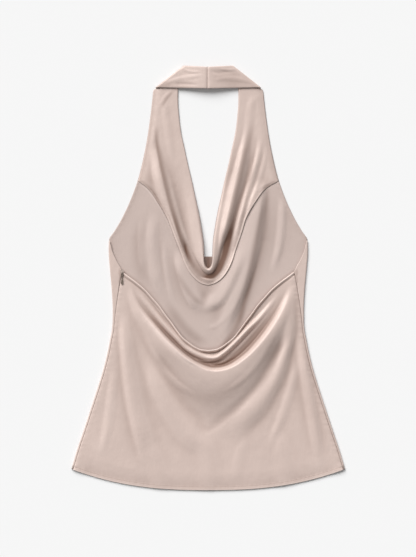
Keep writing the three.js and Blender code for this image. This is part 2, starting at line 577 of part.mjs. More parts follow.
// The slider: a plate with waisted sides and the crown that carries the pull tab.
function zipSlider() {
  const half = SLIDER.width / 2;
  const { noseHalf, waistHalf, shoulderHalf, waistY, shoulderY } = SLIDER_OUTLINE;
  const outline = new THREE.Shape();
  outline.moveTo(-noseHalf, -SLIDER.halfLength);
  outline.lineTo(noseHalf, -SLIDER.halfLength);
  outline.quadraticCurveTo(waistHalf, waistY, half, shoulderY);
  outline.quadraticCurveTo(half, SLIDER.halfLength, shoulderHalf, SLIDER.halfLength);
  outline.lineTo(-shoulderHalf, SLIDER.halfLength);
  outline.quadraticCurveTo(-half, SLIDER.halfLength, -half, shoulderY);
  outline.quadraticCurveTo(-waistHalf, waistY, -noseHalf, -SLIDER.halfLength);
  const plate = new THREE.ExtrudeGeometry(
    outline, { depth: SLIDER.plate, bevelEnabled: false, curveSegments: 5 });
  plate.translate(0, 0, SLIDER_BASE_Z);

  const sink = SLIDER.plate / 2;
  const foot = SLIDER_TOP_Z - sink;
  const under = SLIDER_TOP_Z + CROWN.inside;
  const top = under + CROWN.bar;
  const inner = CROWN.halfLength - CROWN.leg;
  const arch = new THREE.Shape();
  arch.moveTo(-CROWN.halfLength, foot);
  arch.lineTo(-inner, foot);
  arch.lineTo(-inner, under);
  arch.lineTo(inner, under);
  arch.lineTo(inner, foot);
  arch.lineTo(CROWN.halfLength, foot);
  arch.lineTo(CROWN.halfLength, under);
  arch.lineTo(CROWN.halfLength - CROWN.bar, top);
  arch.lineTo(CROWN.bar - CROWN.halfLength, top);
  arch.lineTo(-CROWN.halfLength, under);
  const crown = new THREE.ExtrudeGeometry(arch, { depth: CROWN.width, bevelEnabled: false });
  crown.rotateX(Math.PI / 2);
  crown.rotateZ(Math.PI / 2);
  crown.translate(-CROWN.width / 2, 0, 0);

  const joined = toSolid(plate).add(toSolid(crown));
  const slider = mesh("zip_slider", toGeometry(joined), ZIP_METAL);
  slider.position.copy(point(SLIDER.x, SLIDER.down, 0));
  return slider;
}

// The pull tab: a loop round the crown, a narrow neck and a drop, pointing to the hem.
function zipPull() {
  const loop = PULL.holeWidth / 2 + PULL.rail;
  const loopEnd = PULL.bar / 2 + PULL.holeLength + PULL.rail;
  const neck = PULL.neckWidth / 2;
  const drop = PULL.dropWidth / 2;
  const dropY = drop - PULL.length;
  const shoulderY = -loopEnd - PULL_OUTLINE.shoulder;
  const neckY = -loopEnd - PULL_OUTLINE.neckStart;
  const { neckEnd, dropStart } = PULL_OUTLINE;
  const outline = new THREE.Shape();
  outline.moveTo(-loop, PULL.bar / 2);
  outline.lineTo(-loop, -loopEnd);
  outline.quadraticCurveTo(-neck, shoulderY, -neck, neckY);
  outline.bezierCurveTo(-neck, -neckEnd, -drop, -dropStart, -drop, dropY);
  outline.absarc(0, dropY, drop, Math.PI, 2 * Math.PI, false);
  outline.bezierCurveTo(drop, -dropStart, neck, -neckEnd, neck, neckY);
  outline.quadraticCurveTo(neck, shoulderY, loop, -loopEnd);
  outline.lineTo(loop, PULL.bar / 2);
  const hole = new THREE.Path();
  hole.moveTo(-PULL.holeWidth / 2, -PULL.bar / 2);
  hole.lineTo(PULL.holeWidth / 2, -PULL.bar / 2);
  hole.lineTo(PULL.holeWidth / 2, -PULL.bar / 2 - PULL.holeLength);
  hole.lineTo(-PULL.holeWidth / 2, -PULL.bar / 2 - PULL.holeLength);
  outline.holes.push(hole);
  const flat = new THREE.ExtrudeGeometry(
    outline, { depth: PULL.bar, bevelEnabled: false, curveSegments: 6 });
  flat.translate(0, 0, -PULL.bar / 2);
  const pull = mesh("zip_pull", toGeometry(toSolid(flat)), ZIP_METAL);
  pull.rotation.x = PULL_REST_TILT;
  pull.position.copy(point(SLIDER.x, SLIDER.down, PIVOT_Z));
  return pull;
}

const top = new THREE.Group();
top.name = "halter_neck_top";
top.add(
  frontPanel(),
  frontFacing(),
  backPanel(),
  neckBand("neck_band_left", -1),
  neckBand("neck_band_right", 1),
  zipTape(),
  zipSlider(),
  zipPull(),
);

export default top;
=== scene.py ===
import math

import bpy
import numpy as np
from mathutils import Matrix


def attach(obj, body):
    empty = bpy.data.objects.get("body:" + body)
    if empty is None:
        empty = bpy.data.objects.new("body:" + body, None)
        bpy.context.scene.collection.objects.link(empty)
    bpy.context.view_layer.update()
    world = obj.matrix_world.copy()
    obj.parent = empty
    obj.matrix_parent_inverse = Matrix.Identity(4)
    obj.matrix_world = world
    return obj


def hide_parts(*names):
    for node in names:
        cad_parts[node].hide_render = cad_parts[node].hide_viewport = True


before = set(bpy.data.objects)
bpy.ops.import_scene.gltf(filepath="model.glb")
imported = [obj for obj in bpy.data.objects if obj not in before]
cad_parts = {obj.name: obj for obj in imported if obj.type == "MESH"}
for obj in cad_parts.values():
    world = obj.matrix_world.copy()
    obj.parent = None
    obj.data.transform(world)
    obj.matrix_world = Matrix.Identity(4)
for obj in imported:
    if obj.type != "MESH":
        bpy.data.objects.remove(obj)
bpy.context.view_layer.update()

# Satin halter neck top, laid face down and flat. Lengths in the tables are millimetres, "down" is
# measured from the top of the neck band and "half" from the middle line, as in the cut.
MM = 0.001
LENGTH = 807.0

CLOTH_WALL = 1.2
BAND_WALL = 2.4
SHELL_WALL = 0.7
BAND_SHELL_WALL = 1.9
SEAM_GAP = 0.3
LAYER_AIR = 1.0
SIDE_FOLD_RADIUS = 1.7
FOLD_CLEAR = 1.0
BAND_FOLD_RADIUS = 2.1
HEM_SIDE_LIFT = 39.0
HEM_CURVE_POWER = 2.5
FRONT_HEM_INSET = 1.0
UNDERARM_DOWN = 333.5
SEAM_TOP_DOWN = 391.4
SEAM_AT_EDGE_DOWN = 504.5
SEAM_FROM_EDGE = 3.5
V_BOTTOM_DOWN = 362.9
FACING_ARMHOLE_DOWN = 219.5
FACING_EDGE_INSET = 0.5
STRAP_END_DOWN = 12.0

BAND = {"upper_half": 48.5, "upper_down": 0.6, "lower_half": 101.0, "lower_down": 41.8}
BAND_SEAM = {"x": -1.5, "upper_down": 3.2, "lower_down": 44.3}
BAND_LEG = 1.0
BAND_ARCH = {"rise": 5.0, "half": 60.0}

ZIP = {
    "length": 200.0, "start": 5.0, "tape_width": 12.5, "tape_wall": 1.0, "middle_z": 2.3,
    "from_seam": 1.5, "under_edge": 3.0,
}
SLIDER = {"x": -163.8, "down": 394.3, "pull_length": 21.5}

SILHOUETTE = (("down", "half"), (
    (39.9, 97.7), (42, 100), (48.5, 104.5), (65.6, 106.4), (103.6, 110.9), (141.6, 116.6),
    (179.6, 124.2), (217.6, 133.9), (255.6, 147.8), (293.6, 165.8), (312.6, 177), (333.5, 189.2),
    (350.6, 189.6), (388.6, 187), (426.6, 183.7), (464.6, 181.9), (483.6, 182), (502.6, 183.4),
    (521.6, 187), (540.6, 190.6), (578.6, 199.9), (616.6, 211.7), (654.6, 224.2), (692.6, 236.7),
    (730.6, 249.6), (767.6, 260.5),
))
NECKLINE = (("down", "half"), (
    (8.4, 50), (42.8, 57.4), (65.6, 57.6), (96, 55.6), (126.4, 51.8), (156.8, 45.3), (187.2, 38.8),
    (217.6, 31.5), (248, 24.8), (278.4, 18), (308.8, 12.5), (339.2, 8.6), (362.9, 7.8),
))
NECK_U = {"half": 7.8, "start": 367.0, "bottom": 384.8}
FACING_EDGE = (("place", "down", "left", "right"), (
    (0, 219.5, 133.9, 133.9), (1, 233.9, 115.5, 110.2), (2.2, 259.4, 97.3, 90.3), (3.5, 290.3, 79, 72.6),
    (4.6, 319.4, 67.5, 63.6), (5.6, 348.5, 56, 53.5), (6.5, 373.9, 46.3, 45.2), (7.3, 392.2, 36.8, 36),
    (8.1, 406.6, 24.2, 24.2), (8.7, 415, 11.8, 10.5), (9.2, 417.8, 0, 0),
))
WRAPPED_ARMHOLE = (("down", "half"), (
    (333.5, 189.2), (341, 184.9), (350.6, 183), (358.2, 180.1), (369.6, 174.8), (381, 168.2),
    (391.4, 163.2),
))
UPPER_SIDE_SEAM = (("down", "half"), (
    (391.4, 163.2), (419, 168.9), (447.5, 173.5), (466.5, 176.2), (485.5, 178.3), (504.5, 179.9),
))
BACK_EDGE = (("half", "down"), (
    (0, 540.6), (13.3, 539), (24.7, 534), (36.1, 526.1), (48.5, 515.7), (58.9, 502.6), (70.3, 486.4),
    (82.7, 470.3), (93.1, 455.6), (105.1, 441.8), (121.6, 423.9), (140.6, 408.1), (152, 399.9),
    (163.2, 391.4),
))

# Folds: (rise, spreads to the left of the path's way, spreads to its right, path of (x, down) points).
# The folds are those of the solids, and the creases are finer.
FRONT_FOLDS = {
    "ridge left of the facing's foot": (4, (24, 32, 24), (12, 11, 12), (
        (-58, 345), (-54, 383), (-44, 420), (-30, 449), (-10, 470))),
    "swag below the facing": (4.5, (20, 30, 36, 36), (14, 15, 16, 18), (
        (-16, 458), (4, 456), (22, 444), (40, 412), (54, 376), (64, 340))),
    "step down the right side": (7, (20, 46, 46, 30), (12, 16, 17, 14), (
        (20, 530), (44, 472), (67, 411), (83, 354), (93, 297), (99, 250), (102, 212))),
    "soft fold on the left": (2.5, (16, 22, 16), (12, 16, 12), (
        (-84, 446), (-100, 389), (-106, 332), (-100, 275))),
}
FRONT_CREASES = {
    "hollow along the left armhole": (-1.2, (9, 12), (9, 12), ((-139, 385), (-143, 330), (-142, 284))),
    "ridge beside the left hollow": (0.9, (8, 10, 8), (9, 14, 9), (
        (-122, 400), (-128, 345), (-128, 290))),
    "ridge beside the right armhole": (2, (10, 14, 10), (7, 9, 7), (
        (120, 400), (136, 345), (142, 285), (138, 245))),
    "second line of the left fold": (0.8, (6, 8, 6), (7, 9, 7), (
        (-60, 470), (-74, 425), (-82, 375), (-84, 325))),
    "line under the swag": (0.5, (8, 10, 8), (5, 6, 5), (
        (-12, 492), (8, 497), (30, 484), (48, 462), (62, 430))),
    "line beside the step": (0.8, (6, 9, 6), (6, 8, 6), (
        (70, 440), (84, 390), (98, 340), (108, 290), (112, 250))),
}
FACING_FOLDS = {
    "outer ridge of the left strap": (6.5, (10, 16, 18, 12), (12, 22, 26, 14), (
        (-27, 392), (-44, 360), (-60, 320), (-74, 278), (-88, 233), (-97, 189), (-101, 146))),
    "main ridge of the right strap": (7.5, (8, 11, 13, 9), (12, 18, 20, 12), (
        (21, 362), (28, 330), (35, 300), (44, 261), (55, 214), (66, 164), (78, 108))),
    "outer ridge of the right strap": (3, (8, 9, 9, 8), (8, 9, 9, 8), (
        (42, 366), (56, 311), (67, 267), (82, 219), (96, 168), (101, 128))),
}
FACING_CREASES = {
    "pocket under the neckline": (-7.5, (8, 12, 12, 9, 7), (6, 8, 9, 11, 8), (
        (-62, 290), (-47, 336), (-33, 368), (-16, 391), (0, 400), (14, 394), (25, 370), (34, 325),
        (46, 270))),
    "line beside the left ridge": (0.8, (4, 5, 4), (5, 7, 5), (
        (-36, 345), (-52, 300), (-65, 255), (-75, 212))),
    "gather under the left fold": (0.45, (4, 5, 4), (6, 8, 6), ((-94, 80), (-84, 62), (-66, 44))),
    "soft ridge high on the left strap": (0.9, (9, 12, 9), (8, 10, 8), (
        (-66, 190), (-74, 140), (-80, 95), (-84, 62))),
    "soft ridge high on the right strap": (0.9, (9, 12, 9), (9, 12, 9), (
        (70, 150), (76, 110), (82, 75), (88, 55))),
    "third ridge of the right strap": (1.0, (5, 6, 5), (5, 8, 6), (
        (60, 330), (76, 276), (91, 233), (106, 183), (110, 150))),
    "line beside the right ridge": (1.2, (4, 5, 4), (4, 5, 4), (
        (22, 345), (27, 300), (36, 250), (48, 200))),
}
BAND_CREASES = {
    "line from the left fold": (0.55, (4, 6, 4), (5, 7, 5), (
        (-88, 37), (-58, 26), (-28, 21), (-6, 19))),
    "line under the left corner": (0.6, (3, 4, 3), (3, 4, 3), ((-52, 6), (-34, 12), (-12, 13))),
    "line from the right fold": (0.7, (5, 7, 5), (5, 8, 5), ((90, 37), (62, 27), (34, 25), (4, 30))),
    "hollow right of the seam": (-0.8, (5, 7, 5), (5, 7, 5), ((2, 10), (16, 14), (32, 12), (50, 12))),
    "line under the right corner": (0.8, (3, 4, 3), (3, 4, 3), ((54, 7), (38, 9), (18, 7))),
    "low line of the left half": (-0.6, (4, 5, 4), (4, 5, 4), ((-70, 36), (-44, 35), (-14, 38))),
}
TOP_FOLDS = {
    "main swag of the back": (18, (7, 9, 11, 14, 11), (11, 44, 104, 42, 11), (
        (-154, 412), (-132, 461), (-94, 507), (-60, 541), (-27, 567), (6, 580), (41, 575), (75, 553),
        (107, 519), (134, 480), (152, 444), (161, 412))),
    "second ridge of the swag": (7.5, (6, 8, 8, 8, 6), (7, 9, 9, 9, 7), (
        (-140, 424), (-119, 449), (-89, 485), (-61, 516), (-39, 538), (-13, 552), (12, 555), (30, 545),
        (52, 525), (76, 500), (97, 480), (118, 455), (140, 426))),
    "ridge on the left": (4.5, (18, 18, 17, 15, 10), (34, 38, 34, 24, 12), (
        (-112, 772), (-128, 712), (-143, 650), (-152, 588), (-159, 520), (-161, 462))),
    "ridge on the right": (6, (34, 30, 26, 18, 10), (34, 30, 22, 15, 10), (
        (28, 706), (62, 676), (97, 640), (124, 600), (145, 550), (158, 497), (164, 446))),
    "broad ridge left of the middle": (3, (24, 30, 26, 16), (22, 28, 26, 16), (
        (4, 735), (-34, 706), (-70, 660), (-98, 606), (-118, 545))),
    "ridge by the right side": (3, (16, 18, 18, 14), (12, 13, 13, 10), (
        (216, 768), (205, 700), (193, 630), (183, 565), (173, 505))),
    "wave at the middle of the hem": (1.2, (32, 30, 20), (32, 30, 20), ((2, 826), (0, 760), (-6, 690))),
    "wave at the right of the hem": (1.2, (30, 28, 18), (30, 28, 18), (
        (146, 826), (144, 758), (138, 690))),
    "wave at the left of the hem": (1.1, (30, 28, 18), (28, 26, 18), (
        (-88, 826), (-96, 769), (-106, 706))),
}
TOP_CREASES = {
    "thin ridge under the left of the edge": (2.5, (4, 5, 5, 4), (4, 5, 5, 4), (
        (-131, 420), (-104, 450), (-75, 488), (-48, 520), (-22, 543), (4, 549), (30, 541))),
    "line across the swag's hollow": (1.6, (4, 5, 5, 4), (4, 6, 6, 4), (
        (-66, 534), (-44, 555), (-20, 566), (4, 570), (30, 563), (52, 546))),
    "short line in the swag's hollow": (1.8, (3, 4, 3), (3, 4, 3), (
        (-48, 548), (-28, 557), (-6, 562), (18, 560))),
    "line on the right of the hollow": (1.0, (4, 5, 4), (4, 5, 4), (
        (34, 556), (58, 536), (84, 508), (106, 482), (126, 454))),
    "line on the swag's outer left": (1.0, (7, 9, 7), (8, 12, 8), (
        (-128, 500), (-104, 545), (-78, 584), (-48, 612), (-20, 628))),
    "line on the swag's outer right": (0.9, (8, 12, 8), (7, 9, 7), (
        (22, 622), (56, 604), (88, 574), (114, 536), (134, 498))),
    "foot of the main swag": (-0.8, (12, 17, 17, 12), (10, 14, 14, 10), (
        (-108, 530), (-80, 596), (-52, 634), (-22, 667), (-1, 690), (31, 668), (60, 644), (84, 614),
        (106, 580), (123, 538), (138, 504))),
    "soft line low on the left": (1.3, (10, 14, 10), (10, 14, 10), (
        (-206, 752), (-192, 690), (-184, 630), (-178, 570))),
    "soft line low in the middle": (0.6, (12, 16, 12), (12, 16, 12), ((52, 800), (58, 748), (74, 700))),
    "soft line low on the right": (1.3, (10, 14, 10), (10, 14, 10), (
        (112, 730), (138, 672), (158, 610), (168, 556))),
}
FACING_OVER_FOLDS = 1.35
FACING_RIM = {"rise": 8.5, "start": 190.0, "crest": 4.0, "spread": 34.0}
BACK_RIM = {"rise": 6.0, "spread": 9.0}
HEM_LAY = {"drop": 1.9, "over": 34.0, "near": 4.0, "far": 34.0}
# Painted shade in creases: the depth below the blurred surroundings that gives full shade, the blurs'
# strides and the share of the wider blur.
CREASE_SHADE_DEPTH = 4.6
CREASE_SHADE_NEAR = (1, 2, 4, 4)
CREASE_SHADE_FAR = (1, 2, 4, 8, 8, 8)
CREASE_SHADE_FAR_PART = 0.35
# Painted shade where the satin turns away from the light, and painted light where a depth is below nought:
# (depth, spreads to the left, to the right, path).
FRONT_SHADES = {
    "foot of the step down the right side": (0.55, (8, 10, 10, 7), (9, 10, 10, 8), (
        (14, 548), (34, 526), (50, 504), (62, 478), (71, 440))),
    "step down the right side": (0.45, (9, 12, 12, 9), (9, 12, 12, 9), (
        (50, 505), (66, 465), (79, 405), (88, 355), (97, 312), (110, 250), (112, 215))),
    "hollow left of the facing's foot": (0.35, (8, 10, 8), (6, 9, 7), (
        (-66, 372), (-52, 408), (-36, 432), (-20, 448), (0, 456))),
    "hollow above the back's edge on the left": (0.42, (12, 16, 16, 12), (12, 16, 16, 12), (
        (-84, 440), (-64, 474), (-44, 500), (-20, 520), (6, 528))),
    "pale below the facing's left edge": (-0.4, (4, 4, 4), (4, 4, 4), (
        (-170, 200), (-134, 219.5), (-115.5, 234), (-97, 259), (-79, 290), (-67, 320), (-56, 348))),
    "pale below the facing's right edge": (-0.4, (4, 4, 4), (4, 4, 4), (
        (170, 200), (134, 219.5), (110, 234), (90, 259), (72.6, 290), (63.6, 320), (53.5, 348))),
    "hollow along the left armhole": (0.22, (16, 22, 16), (16, 22, 16), (
        (-120, 430), (-132, 360), (-128, 280))),
}
FACING_SHADES = {
    "under the rim": (0.65, (7, 9, 11, 9, 7), (7, 10, 12, 10, 7), (
        (-54, 304), (-43, 345), (-28, 380), (-9, 400), (9, 400), (24, 380), (32, 345))),
    "right pocket": (1.3, (6, 8, 11, 10, 6), (6, 9, 13, 12, 7), (
        (-18, 402), (2, 401), (17, 391), (29, 369), (35, 345), (42, 312), (51, 270))),
    "dark line of the left strap": (0.8, (3, 4, 4, 3), (10, 13, 12, 6), (
        (-30, 388), (-46, 350), (-60, 308), (-72, 268), (-84, 220), (-93, 178), (-99, 140), (-103, 100))),
    "pocket of the left strap": (0.25, (4, 6, 5), (9, 11, 8), (
        (-30, 388), (-46, 350), (-60, 305), (-70, 260))),
    "dark band of the right strap": (0.52, (8, 11, 12, 9), (8, 9, 9, 8), (
        (30, 362), (38, 325), (47, 280), (57, 232), (68, 180), (80, 130), (85, 105))),
    "second dark line of the right strap": (0.35, (3, 4, 3), (5, 6, 4), (
        (48, 345), (62, 295), (74, 242), (84, 186), (90, 150))),
    "soft patch high on the left strap": (0.3, (7, 9, 7), (7, 9, 7), (
        (-96, 172), (-99, 142), (-94, 112))),
    "gather under the left fold": (0.4, (5, 6, 5), (3, 4, 3), ((-90, 84), (-78, 62), (-62, 46))),
}
TOP_SHADES = {
    "hollow of the swag on the right": (0.35, (7, 9, 9, 7), (9, 11, 11, 8), (
        (-24, 562), (8, 567), (38, 560), (66, 534), (92, 504), (112, 476))),
    "pale right of the hem": (-0.12, (30, 34, 30), (20, 24, 20), ((232, 812), (219, 776), (209, 738))),
    "soft shade on the right": (0.12, (26, 34, 26), (20, 26, 20), ((204, 700), (182, 630), (164, 570))),
    "pale left side": (-0.12, (26, 30, 26), (30, 34, 30), ((-224, 760), (-190, 690), (-172, 600))),
    "below the main swag": (0.2, (16, 24, 24, 16), (16, 24, 24, 16), (
        (-90, 560), (-50, 610), (0, 632), (50, 606), (92, 556))),
    "lit slope on the left": (-0.25, (7, 9, 9, 7), (8, 10, 10, 8), (
        (-140, 440), (-118, 475), (-90, 512), (-58, 545), (-26, 568), (6, 577))),
}
BAND_SHADES = {
    "pale left half": (-0.12, (14, 16, 16), (14, 16, 16), ((2, 20), (-30, 20), (-64, 26))),
    "right half": (0.22, (16, 20, 20), (16, 20, 20), ((-2, 24), (30, 24), (64, 28), (110, 42))),
    "left corner": (0.3, (8, 10, 8), (8, 10, 8), ((-112, 46), (-88, 38), (-60, 34))),
}
BACK_SHADE = {"depth": 0.35, "width": 4.0, "half": 170}
NECK_SHADE = {"depth": 1.15, "half": 12.0, "start": 352.0, "full": 362.0, "fading": 384.0, "end": 392.0}
SHADE_RANGE = (-0.45, 1.35)
ZIP_FLAT = {"near": 7.0, "far": 26.0}
SIDE_FLAT = {"near": 2.3, "far": 14.0}
FOLD_SAMPLES = 96
FOLD_END_FADE = 0.3
# How far around its nearest point a fold's width is evened out, so that it changes smoothly.
FOLD_EVENING = 1.5

# Turned and sewn edges: how wide each turned strip is and how far its line of stitches is from the edge.
HEM = {"width": 7.0, "stitch": 6.0}
FACING_HEM = {"width": 6.0, "stitch": 5.0}
ARMHOLE_HEM = {"width": 5.5, "stitch": 4.6, "fading": 318.0}
TURNED_STEP = {"rise": 0.35, "softness": 0.8}
STITCH_GROOVE = {"depth": 0.3, "width": 0.7}
HEM_PUCKER = {"rise": 0.22, "length": 8.5, "spread": 4.0}
SEAM_PUCKER = {"rise": 0.25, "length": 13.0, "inset": 3.0, "spread": 5.0}
# Painted shade along a hem's stitch line and painted highlight along its turned edge.
HEM_PAINTED_LIGHT_AND_SHADE = {"dark": 0.35, "dark_width": 0.9, "pale": 0.3, "pale_at": 0.8, "pale_width": 1.3}
FACING_EDGE_DROP = {"depth": 1.4, "width": 14.0}
NECKLINE_ROLL = {"drop": 1.3, "width": 1.8}
BACK_EDGE_ROLL = {"rise": 0.9, "at": 1.7, "width": 1.3}
BACK_EDGE_VALLEY = {"depth": 0.6, "at": 6.0, "width": 1.8}
# Painted shade in the valley inside the back's edge and painted highlight on its roll.
BACK_EDGE_PAINTED_LIGHT_AND_SHADE = {"dark": 0.45, "dark_width": 1.6, "light": 0.4, "light_width": 1.5}
SEAM_DIP = {"depth": 0.55, "width": 2.2}
BAND_SEAM_DIP = {"depth": 0.8, "width": 2.0}
BAND_EDGE_ROUND = {"drop": 0.35, "width": 0.05}
STITCH = {"pitch": 3.2, "length": 2.6, "radius": 0.19, "sink": 0.22}
THREAD_SIDES = 6
TOOTH = {
    "pitch": 1.4, "width": 1.7, "length": 0.8, "height": 0.5, "inset": 1.1,
    "below_start": 6.0, "above_end": 4.0,
}

# How the lattices are divided, and how much of them the search for a line of stitches takes in.
WRAP_INWARD = 14
WRAP_COLUMNS = 21
STRAP_RIBS = 88
FRONT_PARTS = {
    "end": 5, "strap": 121, "underarm": 13, "waist": 58, "hem_upper": 31, "hem_lower": 20,
    "hem_split": 0.24, "across": 72,
}
FACING_PARTS = {"end": 12, "cowl": 92, "rim": 6, "across": 33}
BACK_PARTS = {"across": 233, "edge": 15, "middle": 146, "crowding": 1.1, "by_edge": 10.0, "by_hem": 9.0}
BAND_PARTS = {"along": 27, "fold": 13, "leaf": 41}
TAPE_PARTS = {"across": 7, "along": 101}
SEAM_SEARCH = {"back_rows": 16, "front_rows": 5, "ribs": 16, "turned_rows": 12, "clear": 2.0}

FRONT_Z = CLOTH_WALL / 2
FACING_Z = FRONT_Z + CLOTH_WALL + LAYER_AIR
TOP_Z = FRONT_Z + 2 * SIDE_FOLD_RADIUS


def smoothstep(value, low, high):
    """A smooth step from 0 at one value to 1 at another."""
    t = np.clip((value - low) / (high - low), 0.0, 1.0)
    return t * t * (3 - 2 * t)


def blend(a, b, t):
    return a + (b - a) * t


def reader(table, key, value):
    """Reads one column of a table along another, on a smooth curve that never overshoots its rows."""
    columns, rows = table
    places = np.array([row[columns.index(key)] for row in rows], float)
    values = np.array([row[columns.index(value)] for row in rows], float)
    steps = np.diff(values) / np.diff(places)
    before = np.concatenate([steps[:1], steps])
    after = np.concatenate([steps, steps[-1:]])
    total = np.where(before * after > 0, before + after, 1.0)
    slopes = np.where(before * after > 0, 2 * before * after / total, 0.0)

    def read(at):
        at = np.clip(at, places[0], places[-1])
        i = np.clip(np.searchsorted(places, at, side="right") - 1, 0, len(places) - 2)
        width = places[i + 1] - places[i]
        t = (at - places[i]) / width
        start_pull = t * (1 - t) ** 2 * width * slopes[i]
        end_pull = t * t * (t - 1) * width * slopes[i + 1]
        return blend(values[i], values[i + 1], t * t * (3 - 2 * t)) + start_pull + end_pull

    return read


silhouette_half = reader(SILHOUETTE, "down", "half")
neckline_half = reader(NECKLINE, "down", "half")
wrapped_armhole_half = reader(WRAPPED_ARMHOLE, "down", "half")
upper_seam_half = reader(UPPER_SIDE_SEAM, "down", "half")
back_edge_down = reader(BACK_EDGE, "half", "down")
facing_edge_down = reader(FACING_EDGE, "place", "down")
facing_edge_half = {-1: reader(FACING_EDGE, "place", "left"), 1: reader(FACING_EDGE, "place", "right")}


def seam_half(down):
    return np.where(down < SEAM_AT_EDGE_DOWN, upper_seam_half(down), silhouette_half(down) - SEAM_FROM_EDGE)


# The fold line of the neck band, from its upper corner out and down to its lower corner.
BAND_FOLD = np.array([BAND["lower_half"] - BAND["upper_half"], BAND["lower_down"] - BAND["upper_down"]])
BAND_INWARD = np.array([-BAND_FOLD[1], BAND_FOLD[0]]) / np.hypot(*BAND_FOLD)
BAND_FOLD_INSET = BAND_FOLD_RADIUS + BAND_WALL / 2
STRAP_END_INSET = BAND_FOLD_INSET + BAND_LEG + SEAM_GAP
FACING_END_INSET = BAND_FOLD_INSET - 0.6


def strap_corner_down(inset):
    return BAND["lower_down"] + BAND_INWARD[1] * inset


def strap_outer_half(down, inset=STRAP_END_INSET):
    start_x = BAND["upper_half"] + BAND_INWARD[0] * inset
    start_down = BAND["upper_down"] + BAND_INWARD[1] * inset
    folded_end = start_x + (down - start_down) * BAND_FOLD[0] / BAND_FOLD[1]
    return np.where(down > strap_corner_down(inset), silhouette_half(down), folded_end)


def path_samples(path):
    """A smooth curve through a fold's points, in millimetres across and towards the neck."""
    points = np.array([(x, LENGTH / 2 - down) for x, down in path], float)
    padded = np.vstack([2 * points[0] - points[1], points, 2 * points[-1] - points[-2]])
    place = np.linspace(0, len(points) - 1, FOLD_SAMPLES + 1)
    i = np.minimum(place.astype(int), len(points) - 2)
    t = (place - i)[:, None]
    p0, p1, p2, p3 = padded[i], padded[i + 1], padded[i + 2], padded[i + 3]
    start = (p2 - p0) / 2
    end = (p3 - p1) / 2
    square = 3 * (p2 - p1) - 2 * start - end
    cube = 2 * (p1 - p2) + start + end
    return p1 + start * t + square * t**2 + cube * t**3


def spread_along(spreads, along):
    """A fold's spread at places along it, changing smoothly from one given value to the next."""
    values = np.array(spreads, float)
    place = along * (len(values) - 1)
    i = np.minimum(place.astype(int), len(values) - 2)
    return blend(values[i], values[i + 1], smoothstep(place - i, 0, 1))


def bell(distance, width):
    return np.exp(-((distance / width) ** 2))


def ripple(place, length):
    """Uneven small waves along a seam, between -1 and 1."""
    turn = 2 * math.pi * place / length
    first = np.sin(turn + 1.4 * np.sin(turn / 3.7))
    second = np.sin(1.83 * turn + 2.1 * np.sin(turn / 5.3))
    return 0.6 * first + 0.4 * second


def turned_edge(distance, along, hem):
    """Height of a turned and stitched strip along an edge, with the small puckers of its stitching."""
    soft = TURNED_STEP["softness"]
    strip = TURNED_STEP["rise"] * (1 - smoothstep(distance, hem["width"] - soft, hem["width"] + soft))
    from_stitch = distance - hem["stitch"]
    groove = STITCH_GROOVE["depth"] * bell(from_stitch, STITCH_GROOVE["width"])
    waves = HEM_PUCKER["rise"] * ripple(along, HEM_PUCKER["length"])
    return strip - groove + waves * bell(from_stitch, HEM_PUCKER["spread"])


def fold_height(fold, x, y):
    """Height of one fold above its surroundings at many places of the cloth."""
    rise, left, right, path = fold
    height = np.zeros_like(x)
    samples = path_samples(path)
    reach = max(left + right)
    near = (x > samples[:, 0].min() - reach) & (x < samples[:, 0].max() + reach)
    near &= (y > samples[:, 1].min() - reach) & (y < samples[:, 1].max() + reach)
    if not near.any():
        return height
    a, step = samples[:-1], np.diff(samples, axis=0)
    from_a = np.stack([x[near], y[near]], axis=1)[:, None, :] - a
    t = np.clip((from_a * step).sum(2) / (step**2).sum(1), 0, 1)
    distance = np.hypot(from_a[..., 0] - t * step[:, 0], from_a[..., 1] - t * step[:, 1])
    best = distance.argmin(1)
    one = np.arange(len(best))
    side = step[best, 0] * from_a[one, best, 1] - step[best, 1] * from_a[one, best, 0]
    nearness = np.exp((distance[one, best][:, None] - distance) / FOLD_EVENING)
    along = (nearness * (np.arange(FOLD_SAMPLES) + t)).sum(1) / nearness.sum(1) / FOLD_SAMPLES
    width = np.where(side > 0, spread_along(left, along), spread_along(right, along))
    fade = smoothstep(np.minimum(along, 1 - along), 0, FOLD_END_FADE)
    profile = 0.5 * (1 + np.cos(np.pi * np.minimum(distance[one, best] / width, 1)))
    height[near] = rise * fade * profile
    return height


def folds_height(folds, x, down):
    y = LENGTH / 2 - down
    return sum(fold_height(fold, x, y) for fold in folds.values())


def front_lift(x, down):
    from_edge = silhouette_half(down) - np.abs(x)
    lift = folds_height(FRONT_FOLDS, x, down)
    return lift * smoothstep(from_edge, SIDE_FLAT["near"], SIDE_FLAT["far"])


def top_lift(x, down):
    """Height of the upper layer's own folds, flat along the sides and round the zip's slider."""
    from_edge = silhouette_half(down) - np.abs(x)
    flat = smoothstep(from_edge, SIDE_FLAT["near"], SIDE_FLAT["far"])
    pull_end = SLIDER["down"] + SLIDER["pull_length"]
    from_slider = np.hypot(x - SLIDER["x"], np.maximum(down - pull_end, 0))
    by_slider = smoothstep(from_slider, ZIP_FLAT["near"], ZIP_FLAT["far"])
    flat = flat * np.where(down < pull_end + ZIP_FLAT["far"], by_slider, 1.0)
    own = folds_height(TOP_FOLDS, x, down) + folds_height(TOP_CREASES, x, down)
    return front_lift(x, down) + own * flat


def shades(table, lattice):
    """Depth of a table's shades over a lattice."""
    x, down = lattice[:2]
    return folds_height(table, x.ravel(), down.ravel()).reshape(x.shape)


def hem_painted_shading(from_hem, hem):
    """Painted highlight along a turned edge and painted shade along its line of stitches."""
    dark = HEM_PAINTED_LIGHT_AND_SHADE["dark"] * bell(from_hem - hem["stitch"], HEM_PAINTED_LIGHT_AND_SHADE["dark_width"])
    return dark - HEM_PAINTED_LIGHT_AND_SHADE["pale"] * bell(from_hem - HEM_PAINTED_LIGHT_AND_SHADE["pale_at"], HEM_PAINTED_LIGHT_AND_SHADE["pale_width"])


